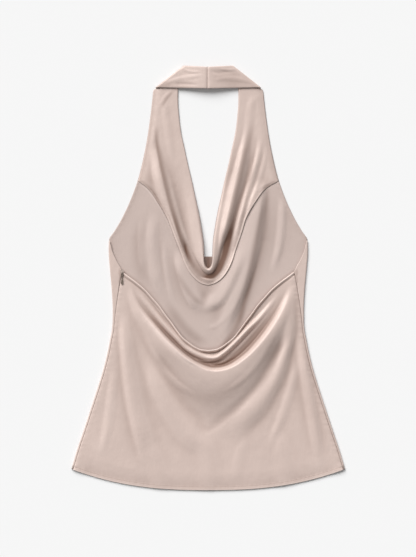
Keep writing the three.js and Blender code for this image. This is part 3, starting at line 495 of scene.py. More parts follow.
def front_shade(x, down):
    """Where the front lies in the shade of the back's edge and of the neckline's foot."""
    above_back = back_edge_down(np.minimum(np.abs(x), BACK_EDGE[1][-1][0])) - down
    by_back = BACK_SHADE["depth"] * bell(np.maximum(above_back, 0), BACK_SHADE["width"])
    by_back = by_back * (np.abs(x) < BACK_SHADE["half"])
    in_neck = NECK_SHADE["depth"] * bell(x, NECK_SHADE["half"])
    in_neck = in_neck * smoothstep(down, NECK_SHADE["start"], NECK_SHADE["full"])
    in_neck = in_neck * (1 - smoothstep(down, NECK_SHADE["fading"], NECK_SHADE["end"]))
    return np.maximum(by_back, in_neck)


def cloth_mesh(name, x, down, z, wall, shade):
    """A closed shell of cloth about a lattice of points. Places that the cloth misses are not numbers.
    Its faces are those of the lattice's upper side, then its under side and then its edges."""
    shown = ~np.isnan(x)
    number = np.where(shown, np.cumsum(shown).reshape(shown.shape) - 1, -1)
    points = np.stack([x[shown], LENGTH / 2 - down[shown], z[shown]], axis=1)
    quads = np.stack([number[:-1, :-1], number[1:, :-1], number[1:, 1:], number[:-1, 1:]], axis=-1)
    quads = quads.reshape(-1, 4)
    quads = quads[(quads >= 0).all(axis=1)]
    corners = points[quads]
    face_normal = np.cross(corners[:, 2] - corners[:, 0], corners[:, 3] - corners[:, 1])
    normal = np.zeros_like(points)
    for k in range(4):
        np.add.at(normal, quads[:, k], face_normal)
    normal /= np.maximum(np.linalg.norm(normal, axis=1, keepdims=True), 1e-12)
    under = len(points)
    both = np.vstack([points + normal * wall / 2, points - normal * wall / 2])
    start = quads.ravel()
    end = np.roll(quads, -1, axis=1).ravel()
    open_edge = ~np.isin(start * under + end, end * under + start)
    start, end = start[open_edge], end[open_edge]
    sides = np.stack([under + start, under + end, end, start], axis=1)
    faces = np.vstack([quads, under + quads[:, ::-1], sides])
    piece = new_mesh(name, both, faces)
    second_side = (np.arange(len(faces)) >= len(quads)).astype(np.int32)
    piece.data.polygons.foreach_set("material_index", second_side)
    # Painted light and shade go into the 'hollow' attribute: painted shade in creases plus the given
    # painted shading, which the satin mixes into its colour.
    hollow = piece.data.attributes.new("hollow", "FLOAT", "POINT")
    depth = np.clip(painted_crease_shade(z) + shade, *SHADE_RANGE)
    hollow.data.foreach_set("value", np.tile(depth[shown], 2).astype(np.float32))
    return piece


def blurred(values, strides):
    """A lattice's values, evened out over its neighbours. Places that the cloth misses don't count."""
    weight = (~np.isnan(values)).astype(float)
    total = np.nan_to_num(values)
    for stride in strides:
        for axis in (0, 1):
            for grid in (total, weight):
                size = grid.shape[axis]
                margin = [(stride, stride) if k == axis else (0, 0) for k in (0, 1)]
                padded = np.pad(grid, margin, mode="edge")
                before = padded.take(range(size), axis)
                after = padded.take(range(2 * stride, size + 2 * stride), axis)
                grid[:] = (before + 2 * grid + after) / 4
    return total / np.maximum(weight, 1e-9)


def painted_crease_shade(z):
    """Painted shade in creases: how far each place of a lattice lies below its surroundings, from 0 to 1.
    """
    near = blurred(z, CREASE_SHADE_NEAR) - z
    far = blurred(z, CREASE_SHADE_FAR) - z
    return np.clip((near + CREASE_SHADE_FAR_PART * far) / CREASE_SHADE_DEPTH, 0, 1)


def new_mesh(name, points, faces):
    """A smooth mesh object from points in millimetres and faces of equal size."""
    mesh = bpy.data.meshes.new(name)
    faces = np.asarray(faces, dtype=np.int32)
    corners = faces.shape[1]
    mesh.vertices.add(len(points))
    mesh.vertices.foreach_set("co", (np.asarray(points) * MM).astype(np.float32).ravel())
    mesh.loops.add(faces.size)
    mesh.loops.foreach_set("vertex_index", faces.ravel())
    mesh.polygons.add(len(faces))
    mesh.polygons.foreach_set("loop_start", np.arange(0, faces.size, corners, dtype=np.int32))
    mesh.update(calc_edges=True)
    mesh.polygons.foreach_set("use_smooth", np.ones(len(faces), dtype=bool))
    mesh.update()
    piece = bpy.data.objects.new(name, mesh)
    bpy.context.scene.collection.objects.link(piece)
    return piece


def front_rows():
    """Rows of the front: how far down each is at the side and at the middle."""
    parts = FRONT_PARTS
    level = np.concatenate([
        np.linspace(STRAP_END_DOWN, strap_corner_down(STRAP_END_INSET), parts["end"]),
        np.linspace(strap_corner_down(STRAP_END_INSET) + 1, UNDERARM_DOWN, parts["strap"]),
        np.linspace(UNDERARM_DOWN, V_BOTTOM_DOWN, parts["underarm"])[1:],
        np.linspace(V_BOTTOM_DOWN, SEAM_AT_EDGE_DOWN, parts["waist"])[1:],
    ])
    t = np.concatenate([np.linspace(0, parts["hem_split"], parts["hem_upper"])[1:],
                        np.linspace(parts["hem_split"], 1, parts["hem_lower"])[1:]])
    side = blend(SEAM_AT_EDGE_DOWN, LENGTH - HEM_SIDE_LIFT - FRONT_HEM_INSET, t)
    middle = blend(SEAM_AT_EDGE_DOWN, LENGTH - FRONT_HEM_INSET, t)
    return np.concatenate([level, side]), np.concatenate([level, middle])


def fold_half(down):
    return silhouette_half(down) - SIDE_FOLD_RADIUS - CLOTH_WALL / 2


def wrap_places(side_down, inward):
    """Places of the front that turns over the side fold, from the fold in to its armhole and seam."""
    t = np.clip((side_down - UNDERARM_DOWN) / (SEAM_AT_EDGE_DOWN - UNDERARM_DOWN), 0, 1)
    armhole_down = blend(UNDERARM_DOWN, SEAM_TOP_DOWN, inward)
    armhole_half = np.minimum(wrapped_armhole_half(armhole_down), fold_half(UNDERARM_DOWN))
    seam_down = blend(SEAM_TOP_DOWN, SEAM_AT_EDGE_DOWN, t)
    level_half = blend(fold_half(SEAM_AT_EDGE_DOWN), seam_half(SEAM_AT_EDGE_DOWN), inward)
    corners = (fold_half(UNDERARM_DOWN), seam_half(SEAM_TOP_DOWN),
               fold_half(SEAM_AT_EDGE_DOWN), seam_half(SEAM_AT_EDGE_DOWN))
    half = (blend(armhole_half, level_half, t) + blend(fold_half(side_down), seam_half(seam_down), inward)
            - blend(blend(corners[0], corners[1], inward), blend(corners[2], corners[3], inward), t))
    corners = (UNDERARM_DOWN, SEAM_TOP_DOWN, SEAM_AT_EDGE_DOWN, SEAM_AT_EDGE_DOWN)
    down = (blend(armhole_down, SEAM_AT_EDGE_DOWN, t) + blend(side_down, seam_down, inward)
            - blend(blend(corners[0], corners[1], inward), blend(corners[2], corners[3], inward), t))
    lower_half = blend(fold_half(side_down), seam_half(side_down), inward)
    half = np.minimum(half, fold_half(down) - FOLD_CLEAR * inward)
    at_edge = side_down >= SEAM_AT_EDGE_DOWN
    return np.where(at_edge, lower_half, half), np.where(at_edge, side_down, down)


def front_cloth():
    """The front in one piece: its straps, its draped neckline, its body and its turned sides."""
    side_down, middle_down = (row[:, None] for row in front_rows())
    turned = side_down >= UNDERARM_DOWN
    steps = FRONT_PARTS["across"]
    edge = strap_outer_half(side_down)
    outer = np.where(turned, fold_half(side_down), edge)
    below = smoothstep(middle_down, V_BOTTOM_DOWN, SEAM_AT_EDGE_DOWN)
    inner = blend(neckline_half(middle_down), outer / steps, below)
    part = np.linspace(1, 0, steps + 1)[None, :]
    half = blend(inner, outer, part)
    lower_down = middle_down - (middle_down - side_down) * (half / outer) ** HEM_CURVE_POWER

    inward = np.linspace(1, 0, WRAP_INWARD)[None, :]
    wrap_half, wrap_down = wrap_places(side_down, inward)
    angle = np.linspace(math.pi, 0, WRAP_COLUMNS - WRAP_INWARD + 2)[None, 1:-1]
    arc_half = fold_half(side_down) + SIDE_FOLD_RADIUS * np.sin(angle)
    arc_z = FRONT_Z + SIDE_FOLD_RADIUS * (1 - np.cos(angle)) + 0 * side_down
    arc_down = side_down + 0 * angle
    missing = np.where(turned, 0.0, np.nan)

    def lattice(side):
        wrap_z = TOP_Z + top_lift((side * wrap_half).ravel(), wrap_down.ravel()).reshape(wrap_half.shape)
        places = (side * half).ravel()
        relief = front_lift(places, lower_down.ravel())
        relief = relief + folds_height(FRONT_CREASES, places, lower_down.ravel())
        from_armhole = edge - half
        strip = turned_edge(from_armhole, side_down, ARMHOLE_HEM)
        strip = strip * (1 - smoothstep(side_down, ARMHOLE_HEM["fading"], UNDERARM_DOWN))
        lower_z = FRONT_Z + np.maximum(relief.reshape(half.shape) + strip, 0)
        x = np.hstack([side * (wrap_half + missing), side * (arc_half + missing), side * half])
        down = np.hstack([wrap_down, arc_down, lower_down])
        return x, down, np.hstack([wrap_z, arc_z, lower_z])

    middle_x = np.where(middle_down >= V_BOTTOM_DOWN, 0.0, np.nan)
    middle_z = FRONT_Z + front_lift(0 * middle_down.ravel(), middle_down.ravel())[:, None]
    left, right = lattice(-1), lattice(1)
    middle = (middle_x, middle_down, middle_z)
    return [np.hstack([l, m, r[:, ::-1]]) for l, m, r in zip(left, middle, right)]


def facing_ribs():
    """The facing's ribs on one side, from the strap's end to just before the foot of the neckline."""
    strap = np.concatenate([
        np.linspace(STRAP_END_DOWN, strap_corner_down(FACING_END_INSET), FACING_PARTS["end"]),
        np.linspace(strap_corner_down(FACING_END_INSET) + 0.5, FACING_ARMHOLE_DOWN,
                    STRAP_RIBS - FACING_PARTS["end"]),
    ])
    t = np.linspace(0, 1, FACING_PARTS["cowl"])[1:]
    straight = NECK_U["start"] - FACING_ARMHOLE_DOWN
    rounded = NECK_U["bottom"] - NECK_U["start"]
    travel = t * (straight + rounded)
    angle = np.clip((travel - straight) / rounded, 0, 1) * math.pi / 2
    on_straight = travel <= straight
    on_round = NECK_U["start"] + rounded * np.sin(angle)
    inner_down = np.where(on_straight, FACING_ARMHOLE_DOWN + travel, on_round)
    inner_half = np.where(on_straight, neckline_half(inner_down), NECK_U["half"] * np.cos(angle))
    return strap, inner_half, inner_down, t * FACING_EDGE[1][-1][0]


def roll_in(from_edge):
    """The neckline's rounded edge, which falls towards the front below it."""
    part = np.clip(1 - from_edge / NECKLINE_ROLL["width"], 0, 1)
    return -NECKLINE_ROLL["drop"] * (1 - np.sqrt(1 - part**2))


def facing_height(x, down, from_neckline):
    rim_rise = FACING_RIM["rise"] * smoothstep(down, FACING_RIM["start"], NECK_U["bottom"])
    climb = np.sin(math.pi / 2 * np.minimum(from_neckline / FACING_RIM["crest"], 1))
    rim = np.where(from_neckline < FACING_RIM["crest"], climb,
                   1 - smoothstep(from_neckline, FACING_RIM["crest"], FACING_RIM["spread"]))
    shape = x.shape
    x, down = x.ravel(), down.ravel()
    own = folds_height(FACING_FOLDS, x, down) + folds_height(FACING_CREASES, x, down)
    base = (FACING_Z + FACING_OVER_FOLDS * front_lift(x, down)).reshape(shape)
    raised = own.reshape(shape) * smoothstep(from_neckline, 0, FACING_RIM["crest"]) + rim_rise * rim
    return base + np.maximum(raised, 0) + roll_in(from_neckline)


def facing_cloth():
    strap, inner_half, inner_down, outer_place = facing_ribs()
    outer_down = facing_edge_down(outer_place)
    near = np.linspace(0, FACING_RIM["crest"], FACING_PARTS["rim"])

    def side_ribs(side):
        outer_half = np.maximum(facing_edge_half[side](outer_place) - FACING_EDGE_INSET, 0)
        strap_half = strap_outer_half(strap, FACING_END_INSET) - FACING_EDGE_INSET
        start = np.stack([np.concatenate([neckline_half(strap), inner_half]),
                          np.concatenate([strap, inner_down])])
        end = np.stack([np.concatenate([strap_half, outer_half]), np.concatenate([strap, outer_down])])
        length = np.hypot(*(end - start))[:, None]
        crest = np.minimum(FACING_RIM["crest"], length / 4)
        far = crest + (length - crest) * np.linspace(0, 1, FACING_PARTS["across"])[None, 1:]
        place = np.hstack([near[None, :] * crest / FACING_RIM["crest"], far])
        half = blend(start[0][:, None], end[0][:, None], place / length)
        down = blend(start[1][:, None], end[1][:, None], place / length)
        x = side * half
        from_hem = length - place
        along = np.cumsum(np.hypot(*np.diff(end, axis=1, prepend=end[:, :1])))[:, None]
        on_hem = smoothstep(np.arange(len(along)), len(strap) - 3, len(strap))[:, None]
        sewn = turned_edge(from_hem, along, FACING_HEM) * on_hem
        laid = FACING_EDGE_DROP["depth"] * (1 - smoothstep(from_hem, 0, FACING_EDGE_DROP["width"]))
        z = facing_height(x, down, place) + sewn - laid
        painted_shading = hem_painted_shading(from_hem, FACING_HEM) * on_hem
        return [grid[:, ::-1] for grid in (x, down, z, painted_shading)]

    left, right = side_ribs(-1), side_ribs(1)
    return [np.vstack([l, r[:-1][::-1]]) for l, r in zip(left, right)]


def back_cloth():
    parts = BACK_PARTS
    u = np.linspace(-1, 1, parts["across"])[None, :]
    seam_top = seam_half(SEAM_TOP_DOWN) - SEAM_GAP
    by_edge = np.linspace(0, parts["by_edge"], parts["edge"])[:, None]
    by_hem = np.linspace(parts["by_hem"], 0, parts["edge"])[:, None]
    between = np.linspace(0, 1, parts["middle"])[1:-1, None] ** parts["crowding"]

    def rows(edge, hem):
        middle = blend(edge + parts["by_edge"], hem - parts["by_hem"], between)
        return np.vstack([edge + by_edge, middle, hem - by_hem])

    edge = back_edge_down(np.abs(u) * seam_top)
    hem = LENGTH - HEM_SIDE_LIFT * np.abs(u) ** HEM_CURVE_POWER
    down = rows(edge, hem)
    side_down = rows(SEAM_TOP_DOWN, LENGTH - HEM_SIDE_LIFT)
    half = seam_half(side_down) - SEAM_GAP
    x = u * half
    from_edge = down - edge
    from_seam = half - np.abs(x)
    rim = BACK_RIM["rise"] * (1 - u**2) * (1 - smoothstep(from_edge, 0, BACK_RIM["spread"]))
    roll = BACK_EDGE_ROLL["rise"] * bell(from_edge - BACK_EDGE_ROLL["at"], BACK_EDGE_ROLL["width"])
    valley = BACK_EDGE_VALLEY["depth"] * bell(from_edge - BACK_EDGE_VALLEY["at"], BACK_EDGE_VALLEY["width"])
    dip = SEAM_DIP["depth"] * bell(from_seam, SEAM_DIP["width"])
    puckers = SEAM_PUCKER["rise"] * ripple(down, SEAM_PUCKER["length"])
    puckers = puckers * bell(from_seam - SEAM_PUCKER["inset"], SEAM_PUCKER["spread"])
    lift = top_lift(x.ravel(), down.ravel()).reshape(x.shape)
    laid = HEM_LAY["drop"] * (1 - smoothstep(hem - down, 0, HEM_LAY["over"]))
    laid = laid * smoothstep(from_seam, HEM_LAY["near"], HEM_LAY["far"])
    z = TOP_Z + lift + rim + roll - valley - dip - laid + puckers + turned_edge(hem - down, x, HEM)
    # Painted shade in the edge's valley and painted highlight on its roll, with the hem's painted shading.
    in_valley = bell(from_edge - BACK_EDGE_VALLEY["at"], BACK_EDGE_PAINTED_LIGHT_AND_SHADE["dark_width"])
    on_roll = bell(from_edge - BACK_EDGE_ROLL["at"], BACK_EDGE_PAINTED_LIGHT_AND_SHADE["light_width"])
    painted_shading = hem_painted_shading(hem - down, HEM) + BACK_EDGE_PAINTED_LIGHT_AND_SHADE["dark"] * in_valley
    painted_shading = painted_shading - BACK_EDGE_PAINTED_LIGHT_AND_SHADE["light"] * on_roll
    return [x, down, z, painted_shading]


def band_cloth(side):
    """One half of the neck band: the strap's end, folded over and led to the seam at the neck's back."""
    seam_x = BAND_SEAM["x"] + side * SEAM_GAP / 2
    v = np.linspace(0, 1, BAND_PARTS["along"])[:, None]
    corner = np.stack([blend(BAND["upper_half"], BAND["lower_half"], v),
                       blend(BAND["upper_down"], BAND["lower_down"], v)])
    level_way = np.array([-1.0, 0.0]) / -BAND_INWARD[0]
    t = np.linspace(0, 1, BAND_PARTS["fold"])[None, :]
    way = np.stack([blend(BAND_INWARD[k], level_way[k], t) for k in (0, 1)])
    inset = BAND_FOLD_INSET - BAND_FOLD_RADIUS * np.sin(t * math.pi)
    fold = corner + way * inset
    fold_z = BAND_WALL / 2 + BAND_FOLD_RADIUS * (1 - np.cos(t * math.pi)) + 0 * v
    leg = corner + BAND_INWARD[:, None, None] * (BAND_FOLD_INSET + BAND_LEG)
    s = np.linspace(0, 1, BAND_PARTS["leaf"])[None, 1:]
    end_x, end_down = side * fold[0][:, -1:], fold[1][:, -1:]
    leaf_x = blend(end_x, seam_x, s)
    leaf_down = blend(end_down, blend(BAND_SEAM["upper_down"], BAND_SEAM["lower_down"], v), s)
    arch = BAND_ARCH["rise"] * (1 - smoothstep(np.abs(leaf_x), 0, BAND_ARCH["half"]))
    relief = folds_height(BAND_CREASES, leaf_x.ravel(), leaf_down.ravel()).reshape(leaf_x.shape)
    from_seam = np.abs(leaf_x - seam_x)
    dip = BAND_SEAM_DIP["depth"] * bell(from_seam, BAND_SEAM_DIP["width"])
    round_width = BAND_EDGE_ROUND["width"]
    edges = BAND_EDGE_ROUND["drop"] * (bell(v, round_width) + bell(1 - v, round_width))
    leaf_z = BAND_WALL / 2 + 2 * BAND_FOLD_RADIUS + arch + relief - dip - edges
    x = np.hstack([side * leg[0], side * fold[0], leaf_x])
    down = np.hstack([leg[1], fold[1], leaf_down])
    z = np.hstack([0 * v + BAND_WALL / 2, fold_z, leaf_z])
    return [x, down, z] if side < 0 else [x[:, ::-1], down[:, ::-1], z[:, ::-1]]


def seam_line(lattice, inset, lift):
    """Points of a seam that runs a given way in from a lattice's first column."""
    points = np.stack([lattice[0], LENGTH / 2 - lattice[1], lattice[2] + lift], axis=-1)
    steps = np.linalg.norm(np.diff(points, axis=1, prepend=points[:, :1]), axis=-1)
    return np.array([[np.interp(inset, place, row[:, k]) for k in range(3)]
                     for place, row in zip(np.cumsum(steps, axis=1), points)])


def thread(name, lines):
    """Stitches of thread along lines on the cloth, each a small rounded body with sunken ends."""
    part = np.array([-0.5, -0.36, 0, 0.36, 0.5])
    radius = STITCH["radius"] * np.array([0.3, 0.9, 1, 0.9, 0.3])
    sides = THREAD_SIDES
    angle = np.arange(sides)[:, None] * 2 * math.pi / sides
    pitch = STITCH["pitch"]
    rings = []
    for line in lines:
        place = np.cumsum(np.linalg.norm(np.diff(line, axis=0, prepend=line[:1]), axis=1))
        at = np.arange(pitch, place[-1] - pitch, pitch)[:, None] + part * STITCH["length"]
        centre = np.stack([np.interp(at, place, line[:, k]) for k in range(3)], axis=-1)
        way = centre[:, -1:] - centre[:, :1]
        way /= np.linalg.norm(way, axis=-1, keepdims=True)
        across = np.cross(way, (0, 0, 1))
        up = np.cross(across, way)
        centre = centre - up * STITCH["sink"] * (2 * part[:, None]) ** 2
        round_way = np.cos(angle) * across[:, :, None] + np.sin(angle) * up[:, :, None]
        rings.append(centre[:, :, None] + radius[:, None, None] * round_way)
    points = np.concatenate(rings).reshape(-1, 3)
    ring, k = np.divmod(np.arange((len(part) - 1) * sides), sides)
    near, after = ring * sides + k, ring * sides + (k + 1) % sides
    ends = [(0, 1, 2, 3), (0, 3, 4, 5), (27, 26, 25, 24), (29, 28, 27, 24)]
    one = np.vstack([np.stack([near, near + sides, after + sides, after], axis=1), ends])
    faces = one[None] + np.arange(0, len(points), len(part) * sides)[:, None, None]
    return new_mesh(name, points, faces.reshape(-1, 4))


def boxes(name, centres, ways, size):
    """A row of small closed blocks, each at a centre and along its way in the plane of the cloth."""
    square = ((-0.5, -0.5), (0.5, -0.5), (0.5, 0.5), (-0.5, 0.5))
    corner = np.array([(x, y, z) for z in (-0.5, 0.5) for x, y in square])
    along = np.hstack([ways, 0 * ways[:, :1]])[:, None]
    across = np.cross(along, (0, 0, 1))
    points = (centres[:, None] + across * corner[:, :1] * size[0] + along * corner[:, 1:2] * size[1]
              + np.array([0, 0, 1]) * corner[:, 2:] * size[2])
    one = np.array([(3, 2, 1, 0), (4, 5, 6, 7), (0, 1, 5, 4), (1, 2, 6, 5), (2, 3, 7, 6), (3, 0, 4, 7)])
    faces = one[None] + np.arange(0, 8 * len(centres), 8)[:, None, None]
    return new_mesh(name, points.reshape(-1, 3), faces.reshape(-1, 4))


def group(name, inputs, outputs):
    """A shader node group with named inputs and outputs."""
    tree = bpy.data.node_groups.new(name, "ShaderNodeTree")
    for socket, kind, default in inputs:
        made = tree.interface.new_socket(name=socket, in_out="INPUT", socket_type=kind)
        made.default_value = default
    for socket, kind in outputs:
        tree.interface.new_socket(name=socket, in_out="OUTPUT", socket_type=kind)
    return tree, tree.nodes.new("NodeGroupInput"), tree.nodes.new("NodeGroupOutput")


def node(tree, kind, links=(), **settings):
    made = tree.nodes.new(kind)
    for key, value in settings.items():
        if key.startswith("in_"):
            socket = key[3:]
            made.inputs[int(socket) if socket.isdigit() else socket.replace("_", " ")].default_value = value
        else:
            setattr(made, key, value)
    for source, target in links:
        tree.links.new(source, made.inputs[target])
    return made


def maths(tree, operation, first, second=0.0, third=None):
    """One step of arithmetic between sockets and numbers."""
    made = tree.nodes.new("ShaderNodeMath")
    made.operation = operation
    for i, value in enumerate((first, second, third)):
        if isinstance(value, bpy.types.NodeSocket):
            tree.links.new(value, made.inputs[i])
        elif value is not None:
            made.inputs[i].default_value = value
    return made.outputs[0]


def noise(tree, vector, scale, detail, roughness=0.5, stretch=None):
    if stretch:
        vector = node(tree, "ShaderNodeMapping", [(vector, "Vector")], in_Scale=stretch).outputs[0]
    made = node(tree, "ShaderNodeTexNoise", [(vector, "Vector")], in_Scale=scale, in_Detail=detail,
                in_Roughness=roughness)
    return made.outputs["Fac"]


def satin_surface_group():
    """Tone of dyed satin, with painted shade and painted light mixed in by the 'hollow' attribute, and the
    height of its weave, slubs and small crumples.
    """
    tree, given, made = group("satin_surface", [
        ("Base", "NodeSocketColor", (0.6, 0.48, 0.42, 1)),
        ("Painted Shade", "NodeSocketColor", (0.3, 0.2, 0.15, 1)),
        ("Variation", "NodeSocketFloat", 0.05),
        ("Weave", "NodeSocketFloat", 0.3),
        ("Crumple", "NodeSocketFloat", 0.3),
    ], [("Color", "NodeSocketColor"), ("Height", "NodeSocketFloat"), ("Gloss", "NodeSocketFloat")])
    spot = node(tree, "ShaderNodeTexCoord").outputs["Object"]
    cloudy = noise(tree, spot, 11.0, 4.0, 0.6)
    slub = noise(tree, spot, 1.0, 3.0, stretch=(520.0, 70.0, 70.0))
    crumple = noise(tree, spot, 27.0, 5.0, 0.5)
    dimples = noise(tree, spot, 1.0, 4.0, 0.55, stretch=(95.0, 60.0, 60.0))
    warp = node(tree, "ShaderNodeTexWave", [(spot, "Vector")], bands_direction="DIAGONAL",
                in_Scale=1100.0, in_Distortion=1.5, in_Detail=1.0).outputs["Fac"]
    hollow = node(tree, "ShaderNodeAttribute", attribute_name="hollow").outputs["Fac"]

    clouds = maths(tree, "SUBTRACT", maths(tree, "ADD", cloudy, maths(tree, "MULTIPLY", slub, 0.5)), 0.75)
    level = maths(tree, "MULTIPLY_ADD", clouds, given.outputs["Variation"], 1.0)
    toned = node(tree, "ShaderNodeVectorMath", [(given.outputs["Base"], 0), (level, "Scale")],
                 operation="SCALE")
    # Painted shade: the colour mixes towards the shade colour by the 'hollow' attribute, and away from it,
    # lighter, where the attribute is below nought.
    colour = node(tree, "ShaderNodeMix", [(hollow, 0), (toned.outputs[0], 6), (given.outputs["Painted Shade"], 7)],
                  data_type="RGBA", clamp_factor=False)
    tree.links.new(colour.outputs[2], made.inputs["Color"])

    woven = maths(tree, "MULTIPLY_ADD", slub, 0.6, warp)
    woven = maths(tree, "MULTIPLY", woven, given.outputs["Weave"])
    crumpled = maths(tree, "MULTIPLY_ADD", dimples, 0.45, crumple)
    crumpled = maths(tree, "MULTIPLY", crumpled, given.outputs["Crumple"])
    tree.links.new(maths(tree, "ADD", woven, crumpled), made.inputs["Height"])
    tree.links.new(clouds, made.inputs["Gloss"])
    return tree


SATIN_SURFACE = satin_surface_group()


def cloth_material(name, look):
    material = bpy.data.materials.new(name)
    material.use_nodes = True
    tree = material.node_tree
    shader = tree.nodes["Principled BSDF"]
    surface = node(tree, "ShaderNodeGroup", node_tree=SATIN_SURFACE)
    base = look["base"]
    surface.inputs["Base"].default_value = (*base, 1)
    # The painted shade colour is the base darkened by the look's shade factors.
    surface.inputs["Painted Shade"].default_value = (*[c * d for c, d in zip(base, look["painted_shade"])], 1)
    for socket in ("Variation", "Weave", "Crumple"):
        surface.inputs[socket].default_value = look[socket.lower()]
    bump = node(tree, "ShaderNodeBump", [(surface.outputs["Height"], "Height")],
                in_Strength=0.7, in_Distance=0.0014)
    tree.links.new(surface.outputs["Color"], shader.inputs["Base Color"])
    tree.links.new(maths(tree, "MULTIPLY_ADD", surface.outputs["Gloss"], 0.12, look["roughness"]),
                   shader.inputs["Roughness"])
    tree.links.new(bump.outputs[0], shader.inputs["Normal"])
    shader.inputs["Metallic"].default_value = look["metallic"]
    shader.inputs["Specular IOR Level"].default_value = look["specular"]
    shader.inputs["Sheen Weight"].default_value = look["sheen"]
    shader.inputs["Sheen Roughness"].default_value = 0.4
    return material


def paint_material(name, base, roughness, metallic=0.35):
    material = bpy.data.materials.new(name)
    material.use_nodes = True
    tree = material.node_tree
    shader = tree.nodes["Principled BSDF"]
    place = node(tree, "ShaderNodeTexCoord")
    speckle = node(tree, "ShaderNodeTexNoise", [(place.outputs["Object"], "Vector")],
                   in_Scale=900.0, in_Detail=3.0)
    colour = node(tree, "ShaderNodeMix", [(speckle.outputs["Fac"], 0)], data_type="RGBA")
    colour.inputs[6].default_value = (*[c * 0.9 for c in base], 1)
    colour.inputs[7].default_value = (*[c * 1.1 for c in base], 1)
    bump = node(tree, "ShaderNodeBump", [(speckle.outputs["Fac"], "Height")],
                in_Strength=0.08, in_Distance=0.0002)
    tree.links.new(colour.outputs[2], shader.inputs["Base Color"])
    tree.links.new(bump.outputs[0], shader.inputs["Normal"])
    shader.inputs["Roughness"].default_value = roughness
    shader.inputs["Metallic"].default_value = metallic
    return material


# Factors that darken each satin's base colour into its painted shade colour.
SATIN_SHADE_COLOUR = (0.45, 0.385, 0.355)
satin = cloth_material("satin_face", {
    "base": (0.66, 0.525, 0.47), "painted_shade": SATIN_SHADE_COLOUR, "variation": 0.10, "weave": 0.06, "crumple": 0.9,
    "roughness": 0.46, "metallic": 0.1, "specular": 0.5, "sheen": 0.08})
satin_reverse = cloth_material("satin_wrong_side", {
    "base": (0.6, 0.485, 0.44), "painted_shade": SATIN_SHADE_COLOUR, "variation": 0.08, "weave": 0.1, "crumple": 0.6,
    "roughness": 0.6, "metallic": 0.0, "specular": 0.3, "sheen": 0.15})
tape = cloth_material("zip_tape", {
    "base": (0.5, 0.4, 0.36), "painted_shade": (1, 1, 1), "variation": 0.05, "weave": 0.3, "crumple": 0.1,
    "roughness": 0.75, "metallic": 0.0, "specular": 0.3, "sheen": 0.2})
slider_paint = paint_material("slider_paint", (0.5, 0.41, 0.36), 0.38)
pull_paint = paint_material("pull_paint", (0.2, 0.155, 0.125), 0.38)
thread_dye = paint_material("satin_thread", (0.6, 0.475, 0.425), 0.42, 0.0)


def dress(piece, materials, body="top", replaces=()):
    for material in materials:
        piece.data.materials.append(material)
    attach(piece, body)
    if replaces:
        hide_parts(*replaces)
    return piece


def lay(name, lattice, wall, shade, looks, solid):
    """A piece of cloth with its looks, in place of its solid."""
    return dress(cloth_mesh(name, *lattice, wall, shade), looks, replaces=[solid])


front_lattice = front_cloth()
*facing_lattice, facing_painted_shading = facing_cloth()
*back_lattice, back_painted_shading = back_cloth()
# Each piece's painted light and shade: that of its hems and edges, the front's painted shade by the back's
# edge and the neckline's foot, and the tables' painted shading.
front_painted_shading = front_shade(*front_lattice[:2]) + shades(FRONT_SHADES, front_lattice)
facing_painted_shading = facing_painted_shading + shades(FACING_SHADES, facing_lattice)
back_painted_shading = back_painted_shading + shades(TOP_SHADES, back_lattice)
front = lay("front_satin", front_lattice, SHELL_WALL, front_painted_shading, (satin_reverse, satin),
            "front_panel")
facing = lay("facing_satin", facing_lattice, SHELL_WALL, facing_painted_shading, (satin, satin_reverse),
             "front_facing")
back = lay("back_satin", back_lattice, SHELL_WALL, back_painted_shading, (satin, satin_reverse), "back_panel")
for side, label in ((-1, "left"), (1, "right")):
    band_lattice = band_cloth(side)
    band_painted_shading = shades(BAND_SHADES, band_lattice)
    lay(f"neck_band_{label}_satin", band_lattice, BAND_SHELL_WALL, band_painted_shading, (satin, satin),
                     f"neck_band_{label}")


def zip_tape_cloth():
    """The zip's tape, from just below the back's edge down beside the side seam."""
    inset = ZIP["from_seam"] + ZIP["tape_width"] * np.linspace(0, 1, TAPE_PARTS["across"])[None, :]
    under_edge = back_edge_down(seam_half(SEAM_TOP_DOWN) - inset) + ZIP["under_edge"]
    start = np.maximum(SEAM_TOP_DOWN + ZIP["start"], under_edge)
    end = SEAM_TOP_DOWN + ZIP["start"] + ZIP["length"]
    down = blend(start, end, np.linspace(0, 1, TAPE_PARTS["along"])[:, None])
    x = -(seam_half(down) - inset)
    return [x, down, 0 * x + ZIP["middle_z"]]


def zip_teeth():
    """The zip's row of teeth along the tape's outer edge."""
    start = SEAM_TOP_DOWN + ZIP["start"] + TOOTH["below_start"]
    end = SEAM_TOP_DOWN + ZIP["start"] + ZIP["length"] - TOOTH["above_end"]
    down = np.arange(start, end, TOOTH["pitch"])
    x = TOOTH["inset"] - seam_half(down)
    way = np.stack([np.gradient(x, down), -np.ones_like(x)], axis=1)
    way /= np.linalg.norm(way, axis=1, keepdims=True)
    z = np.full_like(x, ZIP["middle_z"] + (ZIP["tape_wall"] + TOOTH["height"]) / 2)
    size = (TOOTH["width"], TOOTH["length"], TOOTH["height"])
    return boxes("zip_teeth", np.stack([x, LENGTH / 2 - down, z], axis=1), way, size)


lay("zip_tape_woven", zip_tape_cloth(), ZIP["tape_wall"], 0.0, (tape, tape), "zip_tape")
dress(zip_teeth(), (slider_paint,))


